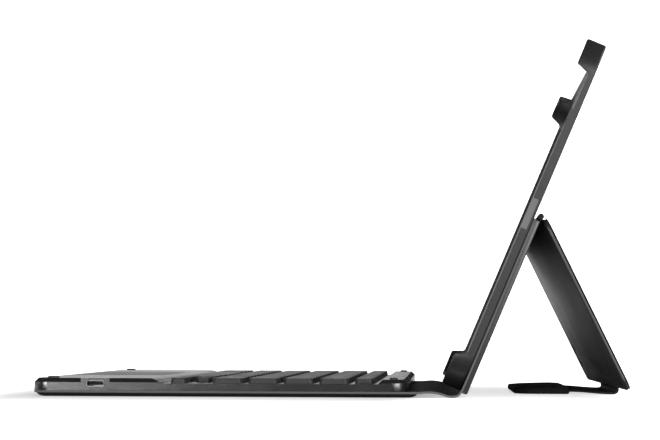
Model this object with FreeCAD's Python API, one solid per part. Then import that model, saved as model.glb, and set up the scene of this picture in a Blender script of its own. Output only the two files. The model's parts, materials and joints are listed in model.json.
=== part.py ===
"""Folio keyboard case for a tablet: slim keyboard, soft spine, tablet shell, folding stand and closing tab.

Millimetres. The origin is the middle of the keyboard's underside, on the floor.
+X is the user's right, +Y goes back from the user, +Z is up.
"""

import FreeCAD
import Part
import math
import os

Vector = FreeCAD.Vector

# Tablet that the shell holds
TABLET_WIDTH = 248.6
TABLET_DEPTH = 179.5
TABLET_THICKNESS = 7.0
TABLET_CORNER = 16.0
TABLET_PLAY = 0.2
CAMERA_INSET = 13.0
CAMERA_HOLE = 16.0
PORT_SLOT = 15.5

# Tablet shell
SHELL_PLATE = 1.4
SHELL_WALL = 1.5
SHELL_FOOT = 1.3
SHELL_EDGE = 0.7
CLIP_REACH = 15.6
CAMERA_CLIP_REACH = 12.0
CLIP_DRAFT = 22.5
CLIP_ROUND = 1.4
CLIP_ROOT = 2.2
LIP_THICKNESS = 1.2
LIP_OVERHANG = 1.5
END_WALL_HEIGHT = 3.0
SIDE_WALL_HEIGHT = 4.2
LOW_SIDE_LENGTH = 37.0

# Layers of the folio cover
SKIN = 0.8
BASE_BOARD = 0.9
BACK_BOARD = 1.4
STAND_BOARD = 0.8
CARRIER = 1.1
LINING = 0.8
COVER_CORNER = 6.0
FIT = 0.1

# Folds
FOLD_GAP = 0.3
HOLDER_ANGLE = 67.0
SPINE_TAIL = 5.5
SPINE_CREST_RUN = 4.3
SPINE_CREST_RADIUS = 25.0
SPINE_TROUGH_RADIUS = 9.0
SPINE_TROUGH_RUN = 4.2
SPINE_FLOOR_GAP = 0.05
ROLL_RADIUS = 1.5
STAND_FOLD_DEPTH = 2.65
STAND_FOLD_RISE = 0.8
STAND_SEAT_GAP = 0.2
STAND_END = 2.6

# Closing tab
TAB_WIDTH = 100.0
STRAP_THICKNESS = 1.2
STRAP_REACH = 6.3
STRAP_SLACK = 2.0
TIP_LENGTH = 29.0
TIP_THICKNESS = 2.7
TIP_CORNER = 10.0
TIP_BASE = 0.8
TIP_WALL = 2.0
MAGNET_COUNT = 3
MAGNET_LENGTH = 24.0
MAGNET_WIDTH = 12.0
MAGNET_THICKNESS = 1.2
CATCH_LENGTH = 92.0
CATCH_WIDTH = 14.0
CATCH_THICKNESS = 0.4
CATCH_INSET = 9.0

# Keyboard housing
SIDE_INSET = 1.0
END_INSET = 0.45
BASE_FRONT_INSET = 1.5
KEYBOARD_CORNER = 7.5
CASE_WALL = 1.5
DECK_THICKNESS = 1.2
BOTTOM_PLATE = 0.8
DECK_RISE = 3.6
PALM_RISE = 2.4
REAR_RISE = 2.2
EDGE_CHAMFER = 2.0
PALM_RAMP = 7.8
REAR_BAR = 11.7
REAR_RAMP = 2.4
HOLLOW_INSET = 4.0
BUMPER_HEIGHT = 0.8
BUMPER_FLARE = 0.4
BUMPER_SIDE = 9.0
FRONT_BUMPER = 5.8
FRONT_BUMPER_INSET = 9.0
REAR_BUMPER = 4.3
REAR_BUMPER_INSET = 6.7

# Keys
ROW_UNITS = 14.5
SINGLE = 1.0
COMMAND_UNITS = 1.25
TAB_UNITS = 1.5
CAPS_UNITS = 1.75
SHIFT_UNITS = 2.25
SPACE_UNITS = 5.0
KEY_SIDE_MARGIN = 6.1
KEY_REAR_MARGIN = 2.1
KEY_FRONT_MARGIN = 1.5
KEY_GAP = 2.7
KEY_DEPTH = 14.6
BOTTOM_KEY_DEPTH = 17.9
FUNCTION_KEY_DEPTH = 9.4
FULL_ROW_COUNT = 4
FUNCTION_KEY_COUNT = 14
NUMBER_KEY_COUNT = 13
UPPER_LETTER_COUNT = 13
HOME_LETTER_COUNT = 11
LOWER_LETTER_COUNT = 10
KEY_TAPER = 0.5
KEY_CORNER = 1.2
KEY_CLEARANCE = 0.4
KEY_TOP_RISE = 2.5
KEY_SKIRT_DROP = 0.4
KEY_ROOF = 1.6
KEY_WALL = 0.8
KEY_TRAVEL = 1.3

# Key mechanism under the deck
FRAME_BORDER = 1.2
FRAME_FLANGE = 1.5
FLANGE_THICKNESS = 0.6
SUPPORT_PLATE = 0.3
MEMBRANE = 0.2
DOME_SHEET = 0.2
DOME_BASE_RADIUS = 3.6
DOME_TOP_RADIUS = 2.0
DOME_SIDES = 6
DOME_GAP = 0.1

# Trackpad
TRACKPAD_WIDTH = 96.0
TRACKPAD_MARGIN = 4.0
TRACKPAD_THICKNESS = 1.0
TRACKPAD_CORNER = 1.5
TRACKPAD_GAP = 0.4
BRACKET_SHEET = 0.3
BRACKET_DROP = 0.6
BRACKET_EAR = 6.0
SWITCH_RADIUS = 2.5
SWITCH_HEIGHT = 0.2
SWITCH_INSET = 7.0

# Electronics in the palm rest
BOARD_SHEET = 1.0
BOARD_WIDTH = 60.0
BATTERY_WIDTH = 58.0
BATTERY_HEIGHT = 3.2
BATTERY_CORNER = 2.0
INSIDE_GAP = 0.5
SOCKET_WIDTH = 8.94
SOCKET_HEIGHT = 3.2
SOCKET_LENGTH = 7.3
SOCKET_SHEET = 0.3
SOCKET_TONGUE_WIDTH = 6.7
SOCKET_TONGUE = 0.7
SOCKET_TONGUE_LENGTH = 5.0
SOCKET_RECESS = 0.3
SOCKET_FROM_FRONT = 31.1
SOCKET_CLEARANCE = 0.2
SOCKET_BOSS = 14.0
SHIELD_WIDTH = 18.0
SHIELD_DEPTH = 14.0
SHIELD_HEIGHT = 1.6
CHIP_WIDTH = 7.0
CHIP_HEIGHT = 0.9
CONNECTOR_WIDTH = 14.0
CONNECTOR_DEPTH = 4.0
CONNECTOR_HEIGHT = 1.0
RIBBON_WIDTH = 12.0
RIBBON_SHEET = 0.2

# Shell and keyboard sizes that follow from the tablet
pocket_width = TABLET_WIDTH + 2 * TABLET_PLAY
pocket_length = TABLET_DEPTH + 2 * TABLET_PLAY
pocket_corner = TABLET_CORNER + TABLET_PLAY
shell_width = pocket_width + 2 * SHELL_WALL
shell_length = pocket_length + 2 * SHELL_WALL
shell_corner = pocket_corner + SHELL_WALL
lip_height = SHELL_PLATE + TABLET_THICKNESS + 2 * TABLET_PLAY
shell_height = lip_height + LIP_THICKNESS
keyboard_half = shell_width / 2 - SIDE_INSET
keyboard_rear = shell_length / 2 - END_INSET
keyboard_front = -keyboard_rear

# Heights in the keyboard
board_z = SKIN
carrier_z = board_z + BASE_BOARD
case_z = carrier_z + CARRIER
cavity_z = case_z + BOTTOM_PLATE
deck_z = case_z + DECK_RISE
deck_under_z = deck_z - DECK_THICKNESS
palm_z = deck_z + PALM_RISE
palm_under_z = palm_z - DECK_THICKNESS
rear_z = deck_z + REAR_RISE
shoulder_z = palm_z - EDGE_CHAMFER
membrane_z = cavity_z + SUPPORT_PLATE
dome_z = membrane_z + MEMBRANE
dome_sheet_top = dome_z + DOME_SHEET
key_top_z = deck_z + KEY_TOP_RISE
key_skirt_z = deck_z - KEY_SKIRT_DROP
key_roof_z = key_top_z - KEY_ROOF
dome_top_z = key_roof_z - DOME_GAP

# Lines across the deck, from front to rear
rear_bar_front = keyboard_rear - REAR_BAR
key_zone_rear = rear_bar_front - REAR_RAMP
full_rows = FULL_ROW_COUNT * (KEY_DEPTH + KEY_GAP)
key_rows = FUNCTION_KEY_DEPTH + KEY_GAP + full_rows + BOTTOM_KEY_DEPTH
ramp_foot = key_zone_rear - KEY_REAR_MARGIN - key_rows - KEY_FRONT_MARGIN
palm_end = ramp_foot - PALM_RAMP

# Fold axes of spine and holder, in the plane across the case
spine_axis = (keyboard_rear + SPINE_TAIL, carrier_z + CARRIER / 2)
crest_z = spine_axis[1] + SPINE_CREST_RADIUS - math.sqrt(SPINE_CREST_RADIUS**2 - SPINE_CREST_RUN**2)
trough_z = CARRIER / 2 + SPINE_FLOOR_GAP
wave_radii = SPINE_CREST_RADIUS + SPINE_TROUGH_RADIUS
wave_run = math.sqrt(wave_radii**2 - (wave_radii - crest_z + trough_z) ** 2)
crest_y = spine_axis[0] + SPINE_CREST_RUN
trough_y = crest_y + wave_run
trough_rise = SPINE_TROUGH_RADIUS - math.sqrt(SPINE_TROUGH_RADIUS**2 - SPINE_TROUGH_RUN**2)
holder_axis = (trough_y + SPINE_TROUGH_RUN, trough_z + trough_rise)
carrier_end = CARRIER / 2 + FOLD_GAP

# Holder, in its own frame: y up the plate from the holder's fold, z towards the tablet
plate_back = CARRIER / 2
shell_end = SHELL_FOOT + shell_length
back_outer = -CARRIER / 2 - BACK_BOARD - SKIN
stand_fold = (SHELL_FOOT + shell_length / 2 + STAND_FOLD_RISE, plate_back - STAND_FOLD_DEPTH)
roll_clear = ROLL_RADIUS + FOLD_GAP
camera_x = -(TABLET_WIDTH / 2 - CAMERA_INSET)
camera_up = shell_end - SHELL_WALL - TABLET_PLAY - CAMERA_INSET

# Stand, in its own frame: y down the stand from its fold, z towards the shell when it is shut
stand_seat = STAND_FOLD_DEPTH - STAND_SEAT_GAP
stand_outer = stand_seat - LINING - STAND_BOARD - SKIN
strap_along = shell_end + STRAP_REACH - stand_fold[0]
strap_level = stand_seat - LINING / 2
stand_end = strap_along - STAND_END
camera_along = camera_up - stand_fold[0]


def turned(point, angle, origin):
    """A point of a folded piece's own frame, as (y, z) in the case's frame."""
    cosine = math.cos(math.radians(angle))
    sine = math.sin(math.radians(angle))
    y = origin[0] + point[0] * cosine - point[1] * sine
    z = origin[1] + point[0] * sine + point[1] * cosine
    return (y, z)


# The stand leans so that the strap at its end lies on the floor
stand_axis = turned(stand_fold, HOLDER_ANGLE, holder_axis)
strap_z = STRAP_THICKNESS / 2
stand_reach = math.hypot(strap_along, strap_level)
stand_lean = math.asin((stand_axis[1] - strap_z) / stand_reach) + math.atan2(strap_level, strap_along)
stand_angle = -math.degrees(stand_lean)
strap_axis = turned((strap_along, strap_level), stand_angle, stand_axis)

# The strap is as long as the shut case is thick
spine_chord = math.hypot(holder_axis[0] - spine_axis[0], holder_axis[1] - spine_axis[1])
shut_strap_z = spine_axis[1] + spine_chord - stand_fold[1] - strap_level
strap_length = shut_strap_z + STRAP_THICKNESS / 2 + STRAP_SLACK
tip_axis = (strap_axis[0] - strap_length, strap_z)
strap_end = STRAP_THICKNESS / 2 + FOLD_GAP

# Key grid
key_unit = (2 * keyboard_half - 2 * KEY_SIDE_MARGIN) / ROW_UNITS
row_half = ROW_UNITS * key_unit / 2
half_key_depth = (BOTTOM_KEY_DEPTH - KEY_GAP) / 2
arrow_shift = (half_key_depth + KEY_GAP) / 2

# Trackpad and the hollow under the palm rest
trackpad_rear = palm_end - TRACKPAD_MARGIN
trackpad_front = keyboard_front + EDGE_CHAMFER + TRACKPAD_MARGIN
hollow_half = keyboard_half - HOLLOW_INSET
hollow_front = keyboard_front + HOLLOW_INSET
bracket_top = palm_z - TRACKPAD_THICKNESS - BRACKET_DROP
board_top = cavity_z + BOARD_SHEET
socket_y = keyboard_front + SOCKET_FROM_FRONT
socket_z = board_top + SOCKET_HEIGHT / 2
board_x = hollow_half - INSIDE_GAP
board_rear = palm_end - INSIDE_GAP
connector_x = board_x - BOARD_WIDTH / 2


def box(x0, x1, y0, y1, z0, z1):
    """Straight block between two corners."""
    return Part.makeBox(x1 - x0, y1 - y0, z1 - z0, Vector(x0, y0, z0))


def rounded_outline(x0, x1, y0, y1, radius, z):
    """Closed wire of a rectangle with round corners."""
    centres = (
        (x1 - radius, y1 - radius),
        (x0 + radius, y1 - radius),
        (x0 + radius, y0 + radius),
        (x1 - radius, y0 + radius),
    )
    arcs = []
    for quarter, (x, y) in enumerate(centres):
        points = []
        for step in range(3):
            angle = math.radians(90 * quarter + 45 * step)
            points.append(Vector(x + radius * math.cos(angle), y + radius * math.sin(angle), z))
        arcs.append(points)
    edges = []
    for quarter, points in enumerate(arcs):
        edges.append(Part.Arc(*points).toShape())
        edges.append(Part.makeLine(points[2], arcs[(quarter + 1) % 4][0]))
    return Part.Wire(edges)


def rounded_plate(x0, x1, y0, y1, z0, z1, radius):
    """Flat plate with round corners."""
    face = Part.Face(rounded_outline(x0, x1, y0, y1, radius, z0))
    return face.extrude(Vector(0, 0, z1 - z0))


def cut_corner_points(x, y, width, depth, corner, z):
    """Corners of a rectangle about (x, y) whose own corners are cut at 45 degrees."""
    across = width / 2
    along = depth / 2
    points = [
        (across, -along + corner),
        (across, along - corner),
        (across - corner, along),
        (-across + corner, along),
        (-across, along - corner),
        (-across, -along + corner),
        (-across + corner, -along),
        (across - corner, -along),
    ]
    return [Vector(x + dx, y + dy, z) for dx, dy in points]


def closed(corners):
    """Closed wire with straight runs between corners."""
    return Part.makePolygon(corners + corners[:1])


def rectangle(x0, x1, y0, y1, z):
    """Closed wire of a plain rectangle."""
    return closed([Vector(x0, y0, z), Vector(x1, y0, z), Vector(x1, y1, z), Vector(x0, y1, z)])


def cut_corner_outline(x, y, width, depth, corner, z):
    """Closed wire of a rectangle with cut corners."""
    return closed(cut_corner_points(x, y, width, depth, corner, z))


def tapered(foot, top):
    """Solid with flat sides between two rings of corners of the same count."""
    faces = [Part.Face(closed(foot)), Part.Face(closed(top))]
    for number in range(len(foot)):
        after = (number + 1) % len(foot)
        faces.append(Part.Face(closed([foot[number], foot[after], top[after], top[number]])))
    return Part.makeSolid(Part.makeShell(faces))


def prism(outline, height):
    """Solid raised from a flat closed wire."""
    return Part.Face(outline).extrude(Vector(0, 0, height))


def across_case(edges, half_width):
    """Solid with a side profile in the (y, z) plane, running across the case."""
    face = Part.Face(Part.Wire(edges))
    face.translate(Vector(-half_width, 0, 0))
    return face.extrude(Vector(2 * half_width, 0, 0))


def side_polygon(points):
    """Edges of a closed side profile with straight runs, from (y, z) points."""
    return closed([Vector(0, y, z) for y, z in points]).Edges


def side_arc(centre, radius, start, end):
    """Arc of a side profile about centre, between two angles in degrees."""
    points = []
    for angle in (start, (start + end) / 2, end):
        y = centre[0] + radius * math.cos(math.radians(angle))
        z = centre[1] + radius * math.sin(math.radians(angle))
        points.append(Vector(0, y, z))
    return Part.Arc(*points).toShape()


def rounded_profile(corners):
    """Closed wire in the (x, z) plane from (x, z, radius) corners, each rounded to its radius."""
    runs = []
    for number, (x, z, radius) in enumerate(corners):
        here = Vector(x, 0, z)
        before = corners[number - 1]
        after = corners[(number + 1) % len(corners)]
        to_before = (Vector(before[0], 0, before[1]) - here).normalize()
        to_after = (Vector(after[0], 0, after[1]) - here).normalize()
        if radius == 0:
            runs.append((here, here, here))
            continue
        half_turn = to_before.getAngle(to_after) / 2
        reach = radius / math.tan(half_turn)
        inward = (to_before + to_after).normalize()
        middle = here + inward * (radius / math.sin(half_turn) - radius)
        runs.append((here + to_before * reach, middle, here + to_after * reach))
    edges = []
    for number, (start, middle, end) in enumerate(runs):
        if (end - start).Length > 0:
            edges.append(Part.Arc(start, middle, end).toShape())
        edges.append(Part.makeLine(end, runs[(number + 1) % len(runs)][0]))
    return Part.Wire(edges)


def side_line(start, end):
    """Straight run of a side profile between two (y, z) points."""
    return Part.makeLine(Vector(0, *start), Vector(0, *end))


def folded(shape, angle, axis):
    """Piece drawn flat in its own frame, turned about a fold and set on its axis."""
    shape = shape.copy()
    shape.rotate(Vector(0, 0, 0), Vector(1, 0, 0), angle)
    shape.translate(Vector(0, *axis))
    return shape


def on_holder(shape):
    """Piece of the holder, drawn flat, turned up to its lean."""
    return folded(shape, HOLDER_ANGLE, holder_axis)


def on_stand(shape):
    """Piece of the stand, drawn flat, turned down to the floor."""
    return folded(shape, stand_angle, stand_axis)


def wrapped_skin(x_half, y0, y1, z0, rim_top, radius):
    """Shallow leather tray: a flat skin whose edges turn up round a board."""
    tray = rounded_plate(-x_half, x_half, y0, y1, z0, rim_top, radius)
    inside = rounded_plate(
        -x_half + SKIN, x_half - SKIN, y0 + SKIN, y1 - SKIN, z0 + SKIN, rim_top + FIT, radius - SKIN
    )
    return tray.cut(inside)


def board_inside(x_half, y0, y1, z0, z1, radius):
    """Stiff board that lies inside a wrapped skin of the same outline."""
    inset = SKIN + FIT
    return rounded_plate(-x_half + inset, x_half - inset, y0 + inset, y1 - inset, z0, z1, radius - inset)


# Cover under the keyboard

base_front = keyboard_front + BASE_FRONT_INSET
base_rear = spine_axis[0] - carrier_end


def base_skin():
    return wrapped_skin(keyboard_half, base_front, base_rear, 0, carrier_z, COVER_CORNER)


def catch_plate():
    front = base_front + CATCH_INSET
    return box(
        -CATCH_LENGTH / 2, CATCH_LENGTH / 2, front, front + CATCH_WIDTH, board_z, board_z + CATCH_THICKNESS
    )


def base_board():
    board = board_inside(keyboard_half, base_front, base_rear, board_z, carrier_z, COVER_CORNER)
    front = base_front + CATCH_INSET - FIT
    half = CATCH_LENGTH / 2 + FIT
    pocket = box(-half, half, front, front + CATCH_WIDTH + 2 * FIT, 0, board_z + CATCH_THICKNESS)
    return board.cut(pocket)


def base_carrier():
    sheet = rounded_plate(
        -keyboard_half, keyboard_half, keyboard_front, base_rear + KEYBOARD_CORNER, carrier_z, case_z,
        KEYBOARD_CORNER,
    )
    return sheet.common(box(-shell_width, shell_width, keyboard_front, base_rear, 0, case_z))


# Keyboard housing


def ramp_edges():
    """Smooth fall from the palm rest to the key deck: two equal tangent arcs."""
    radius = (PALM_RAMP**2 + PALM_RISE**2) / (4 * PALM_RISE)
    sweep = math.degrees(math.asin(PALM_RAMP / 2 / radius))
    upper = side_arc((palm_end, palm_z - radius), radius, 90, 90 - sweep)
    lower = side_arc((ramp_foot, deck_z + radius), radius, 270 - sweep, 270)
    return [upper, lower]


def deck_profile():
    """Everything below the housing's top line, as seen from the side."""
    before = keyboard_front - KEYBOARD_CORNER
    behind = keyboard_rear + KEYBOARD_CORNER
    edges = [side_line((before, case_z), (before, palm_z)), side_line((before, palm_z), (palm_end, palm_z))]
    edges += ramp_edges()
    corners = [
        (ramp_foot, deck_z),
        (key_zone_rear, deck_z),
        (rear_bar_front, rear_z),
        (behind, rear_z),
        (behind, case_z),
        (before, case_z),
    ]
    for start, end in zip(corners, corners[1:]):
        edges.append(side_line(start, end))
    return across_case(edges, shell_width)


def keyboard_outline(inset, z):
    return rounded_outline(
        -keyboard_half + inset,
        keyboard_half - inset,
        keyboard_front + inset,
        keyboard_rear - inset,
        KEYBOARD_CORNER - inset,
        z,
    )


def socket_outline(clearance, x):
    """Closed wire of the socket's oblong section, square to the side of the keyboard."""
    width = SOCKET_WIDTH + 2 * clearance
    radius = SOCKET_HEIGHT / 2 + clearance
    right = socket_y + width / 2 - radius
    left = socket_y - width / 2 + radius
    edges = [
        side_arc((right, socket_z), radius, -90, 90),
        side_line((right, socket_z + radius), (left, socket_z + radius)),
        side_arc((left, socket_z), radius, 90, 270),
        side_line((left, socket_z - radius), (right, socket_z - radius)),
    ]
    wire = Part.Wire(edges)
    wire.translate(Vector(x, 0, 0))
    return wire


def socket_tube(clearance, x0, x1):
    return Part.Face(socket_outline(clearance, x0)).extrude(Vector(x1 - x0, 0, 0))


def key_frame_extent(border):
    """Half width, front and rear of the key openings, grown by a border."""
    grow = KEY_CLEARANCE + border
    half = row_half - KEY_GAP / 2 + grow
    rows = [key[2] - key[4] / 2 for key in keys]
    return half, min(rows) - grow, key_zone_rear - KEY_REAR_MARGIN + grow


def top_case():
    lower = prism(keyboard_outline(0, case_z), shoulder_z - case_z)
    upper = Part.makeLoft([keyboard_outline(0, shoulder_z), keyboard_outline(EDGE_CHAMFER, palm_z)], True, True)
    boss = box(
        hollow_half, keyboard_half, socket_y - SOCKET_BOSS / 2, socket_y + SOCKET_BOSS / 2, case_z, palm_z
    )
    case = lower.fuse(upper).fuse(boss).common(deck_profile())
    inside = prism(keyboard_outline(CASE_WALL, case_z), deck_under_z - case_z)
    palm_hollow = box(-hollow_half, hollow_half, hollow_front, palm_end, case_z, palm_under_z)
    rear_hollow = box(
        -hollow_half,
        hollow_half,
        rear_bar_front + CASE_WALL,
        keyboard_rear - HOLLOW_INSET,
        case_z,
        rear_z - DECK_THICKNESS,
    )
    half, front, rear = key_frame_extent(FRAME_BORDER + FIT)
    well = box(-half, half, front, rear, case_z, palm_z)
    pad_depth = trackpad_rear - trackpad_front + 2 * TRACKPAD_GAP
    pad_window = prism(
        cut_corner_outline(
            0,
            (trackpad_rear + trackpad_front) / 2,
            TRACKPAD_WIDTH + 2 * TRACKPAD_GAP,
            pad_depth,
            TRACKPAD_CORNER,
            case_z,
        ),
        palm_z,
    )
    socket_room = box(
        keyboard_half - SOCKET_RECESS - SOCKET_LENGTH - INSIDE_GAP,
        keyboard_half - CASE_WALL,
        socket_y - SOCKET_WIDTH / 2 - SOCKET_CLEARANCE,
        socket_y + SOCKET_WIDTH / 2 + SOCKET_CLEARANCE,
        case_z,
        socket_z + SOCKET_HEIGHT / 2 + SOCKET_CLEARANCE,
    )
    mouth = socket_tube(SOCKET_CLEARANCE, hollow_half, keyboard_half + FIT)
    return case.cut([inside, palm_hollow, rear_hollow, well, pad_window, socket_room, mouth])


def bottom_case():
    return prism(keyboard_outline(CASE_WALL + FIT, case_z), BOTTOM_PLATE)


def deck_bumpers():
    bumpers = []
    ends = (
        (keyboard_front + FRONT_BUMPER_INSET, palm_z, FRONT_BUMPER),
        (keyboard_rear - REAR_BUMPER_INSET, rear_z, REAR_BUMPER),
    )
    for y, z, diameter in ends:
        for side in (-1, 1):
            x = side * (keyboard_half - BUMPER_SIDE)
            radius = diameter / 2
            bumpers.append(Part.makeCone(radius, radius - BUMPER_FLARE, BUMPER_HEIGHT, Vector(x, y, z)))
    return Part.makeCompound(bumpers)


# Keys

ROWS = (
    (FUNCTION_KEY_DEPTH, [("function_keys", ROW_UNITS / FUNCTION_KEY_COUNT)] * FUNCTION_KEY_COUNT),
    (KEY_DEPTH, [("number_keys", SINGLE)] * NUMBER_KEY_COUNT + [("backspace_key", TAB_UNITS)]),
    (KEY_DEPTH, [("tab_key", TAB_UNITS)] + [("upper_letter_keys", SINGLE)] * UPPER_LETTER_COUNT),
    (
        KEY_DEPTH,
        [("caps_lock_key", CAPS_UNITS)]
        + [("home_letter_keys", SINGLE)] * HOME_LETTER_COUNT
        + [("enter_key", CAPS_UNITS)],
    ),
    (
        KEY_DEPTH,
        [("left_shift_key", SHIFT_UNITS)]
        + [("lower_letter_keys", SINGLE)] * LOWER_LETTER_COUNT
        + [("right_shift_key", SHIFT_UNITS)],
    ),
    (
        BOTTOM_KEY_DEPTH,
        [
            ("fn_key", SINGLE),
            ("control_key", SINGLE),
            ("left_alt_key", SINGLE),
            ("left_system_key", COMMAND_UNITS),
            ("space_bar", SPACE_UNITS),
            ("right_system_key", COMMAND_UNITS),
            ("right_alt_key", SINGLE),
            ("left_arrow_key", SINGLE),
            ("down_arrow_key", SINGLE),
            ("right_arrow_key", SINGLE),
        ],
    ),
)
ARROW_KEYS = ("left_arrow_key", "down_arrow_key", "right_arrow_key")


def lay_out_keys():
    """Each key as (node, x, y, width, depth) of its foot, row by row from the rear."""
    laid = []
    rear = key_zone_rear - KEY_REAR_MARGIN
    for depth, row in ROWS:
        y = rear - depth / 2
        left = -row_half
        for node, units in row:
            x = left + units * key_unit / 2
            width = units * key_unit - KEY_GAP
            if node in ARROW_KEYS:
                laid.append((node, x, y - arrow_shift, width, half_key_depth))
            else:
                laid.append((node, x, y, width, depth))
            if node == "down_arrow_key":
                laid.append(("up_arrow_key", x, y + arrow_shift, width, half_key_depth))
            left += units * key_unit
        rear -= depth + KEY_GAP
    return laid


keys = lay_out_keys()


def keycap(x, y, width, depth):
    """Tapered cap with a hollow underside."""
    foot = cut_corner_points(x, y, width, depth, KEY_CORNER, key_skirt_z)
    top = cut_corner_points(x, y, width - 2 * KEY_TAPER, depth - 2 * KEY_TAPER, KEY_CORNER, key_top_z)
    cap = tapered(foot, top)
    across = width / 2 - KEY_WALL - KEY_TAPER
    along = depth / 2 - KEY_WALL - KEY_TAPER
    hollow = box(x - across, x + across, y - along, y + along, key_skirt_z, key_roof_z)
    return cap.cut(hollow)


def key_node(name):
    caps = [keycap(*key[1:]) for key in keys if key[0] == name]
    return caps[0] if len(caps) == 1 else Part.makeCompound(caps)


# Key mechanism


def key_frame():
    """Plate with one opening for each key, and a flange that seats under the deck's rim."""
    levels = (
        (FRAME_BORDER, deck_under_z, DECK_THICKNESS),
        (FRAME_BORDER + FRAME_FLANGE, deck_under_z - FLANGE_THICKNESS, FLANGE_THICKNESS),
    )
    layers = []
    for border, z, thickness in levels:
        half, front, rear = key_frame_extent(border)
        wires = [rectangle(-half, half, front, rear, z)]
        for _, x, y, width, depth in keys:
            across = width / 2 + KEY_CLEARANCE
            along = depth / 2 + KEY_CLEARANCE
            wires.append(rectangle(x - across, x + across, y - along, y + along, z))
        layers.append(Part.Face(wires, "Part::FaceMakerBullseye").extrude(Vector(0, 0, thickness)))
    return layers[0].fuse(layers[1]).removeSplitter()


def key_layer(z, thickness):
    """Flat sheet as large as the key frame's flange."""
    half, front, rear = key_frame_extent(FRAME_BORDER + FRAME_FLANGE)
    return box(-half, half, front, rear, z, z + thickness)


def key_support_plate():
    return key_layer(cavity_z, SUPPORT_PLATE)


def membrane_sheet():
    return key_layer(membrane_z, MEMBRANE)


def dome_ring(x, y, z, radius):
    """Corners of one faceted dome at a height."""
    points = []
    for side in range(DOME_SIDES):
        angle = 2 * math.pi * side / DOME_SIDES
        points.append(Vector(x + radius * math.cos(angle), y + radius * math.sin(angle), z))
    return points


def dome_sheet():
    domes = []
    for _, x, y, _, _ in keys:
        foot = dome_ring(x, y, dome_sheet_top, DOME_BASE_RADIUS)
        crown = dome_ring(x, y, dome_top_z, DOME_TOP_RADIUS)
        domes.append(tapered(foot, crown))
    return key_layer(dome_z, DOME_SHEET).fuse(domes)


# Trackpad


def trackpad():
    middle = (trackpad_front + trackpad_rear) / 2
    outline = cut_corner_outline(
        0, middle, TRACKPAD_WIDTH, trackpad_rear - trackpad_front, TRACKPAD_CORNER, palm_z - TRACKPAD_THICKNESS
    )
    return prism(outline, TRACKPAD_THICKNESS)


def trackpad_bracket():
    """Bent sheet pan whose ears are fixed under the palm rest on both sides of the trackpad."""
    pan = TRACKPAD_WIDTH / 2 + TRACKPAD_GAP + INSIDE_GAP
    ear = pan + BRACKET_EAR
    low = bracket_top - BRACKET_SHEET
    high = palm_under_z - BRACKET_SHEET
    right = [
        (pan + BRACKET_SHEET, low),
        (pan + BRACKET_SHEET, high),
        (ear, high),
        (ear, palm_under_z),
        (pan, palm_under_z),
        (pan, bracket_top),
    ]
    left = [(-x, z) for x, z in reversed(right)]
    corners = [Vector(x, trackpad_front, z) for x, z in right + left]
    return Part.Face(closed(corners)).extrude(Vector(0, trackpad_rear - trackpad_front, 0))


def trackpad_switch():
    return Part.makeCylinder(SWITCH_RADIUS, SWITCH_HEIGHT, Vector(0, trackpad_front + SWITCH_INSET, bracket_top))


# Electronics


def main_board():
    return box(board_x - BOARD_WIDTH, board_x, hollow_front + INSIDE_GAP, board_rear, cavity_z, board_top)


def board_components():
    shield_x = board_x - BOARD_WIDTH + INSIDE_GAP
    shield_y = hollow_front + 2 * INSIDE_GAP
    shield = box(
        shield_x, shield_x + SHIELD_WIDTH, shield_y, shield_y + SHIELD_DEPTH, board_top, board_top + SHIELD_HEIGHT
    )
    chip = box(
        connector_x - CHIP_WIDTH / 2,
        connector_x + CHIP_WIDTH / 2,
        socket_y - CHIP_WIDTH / 2,
        socket_y + CHIP_WIDTH / 2,
        board_top,
        board_top + CHIP_HEIGHT,
    )
    connector = box(
        connector_x - CONNECTOR_WIDTH / 2,
        connector_x + CONNECTOR_WIDTH / 2,
        board_rear - CONNECTOR_DEPTH,
        board_rear,
        board_top,
        board_top + CONNECTOR_HEIGHT,
    )
    return Part.makeCompound([shield, chip, connector])


def flat_ribbon():
    """Flat ribbon that climbs from the membrane's front edge to the connector on the board."""
    _, front, _ = key_frame_extent(FRAME_BORDER + FRAME_FLANGE)
    low = membrane_z
    high = board_top + RIBBON_SHEET
    foot = front - CONNECTOR_DEPTH
    profile = [
        (front, low),
        (front, low + RIBBON_SHEET),
        (foot, low + RIBBON_SHEET),
        (board_rear, high + RIBBON_SHEET),
        (board_rear, high),
        (foot, low),
    ]
    ribbon = across_case(side_polygon(profile), RIBBON_WIDTH / 2)
    ribbon.translate(Vector(connector_x, 0, 0))
    return ribbon


def battery():
    left = -hollow_half + INSIDE_GAP
    return rounded_plate(
        left,
        left + BATTERY_WIDTH,
        hollow_front + INSIDE_GAP,
        palm_end - INSIDE_GAP,
        cavity_z,
        cavity_z + BATTERY_HEIGHT,
        BATTERY_CORNER,
    )


def usb_c_socket():
    """Drawn metal shell, open at the keyboard's side, with the contact tongue inside."""
    mouth = keyboard_half - SOCKET_RECESS
    back = mouth - SOCKET_LENGTH
    shell = socket_tube(0, back, mouth).cut(socket_tube(-SOCKET_SHEET, back + SOCKET_SHEET, mouth + FIT))
    tongue = box(
        back,
        back + SOCKET_TONGUE_LENGTH,
        socket_y - SOCKET_TONGUE_WIDTH / 2,
        socket_y + SOCKET_TONGUE_WIDTH / 2,
        socket_z - SOCKET_TONGUE / 2,
        socket_z + SOCKET_TONGUE / 2,
    )
    return shell.fuse(tongue)


# Spine


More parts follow.
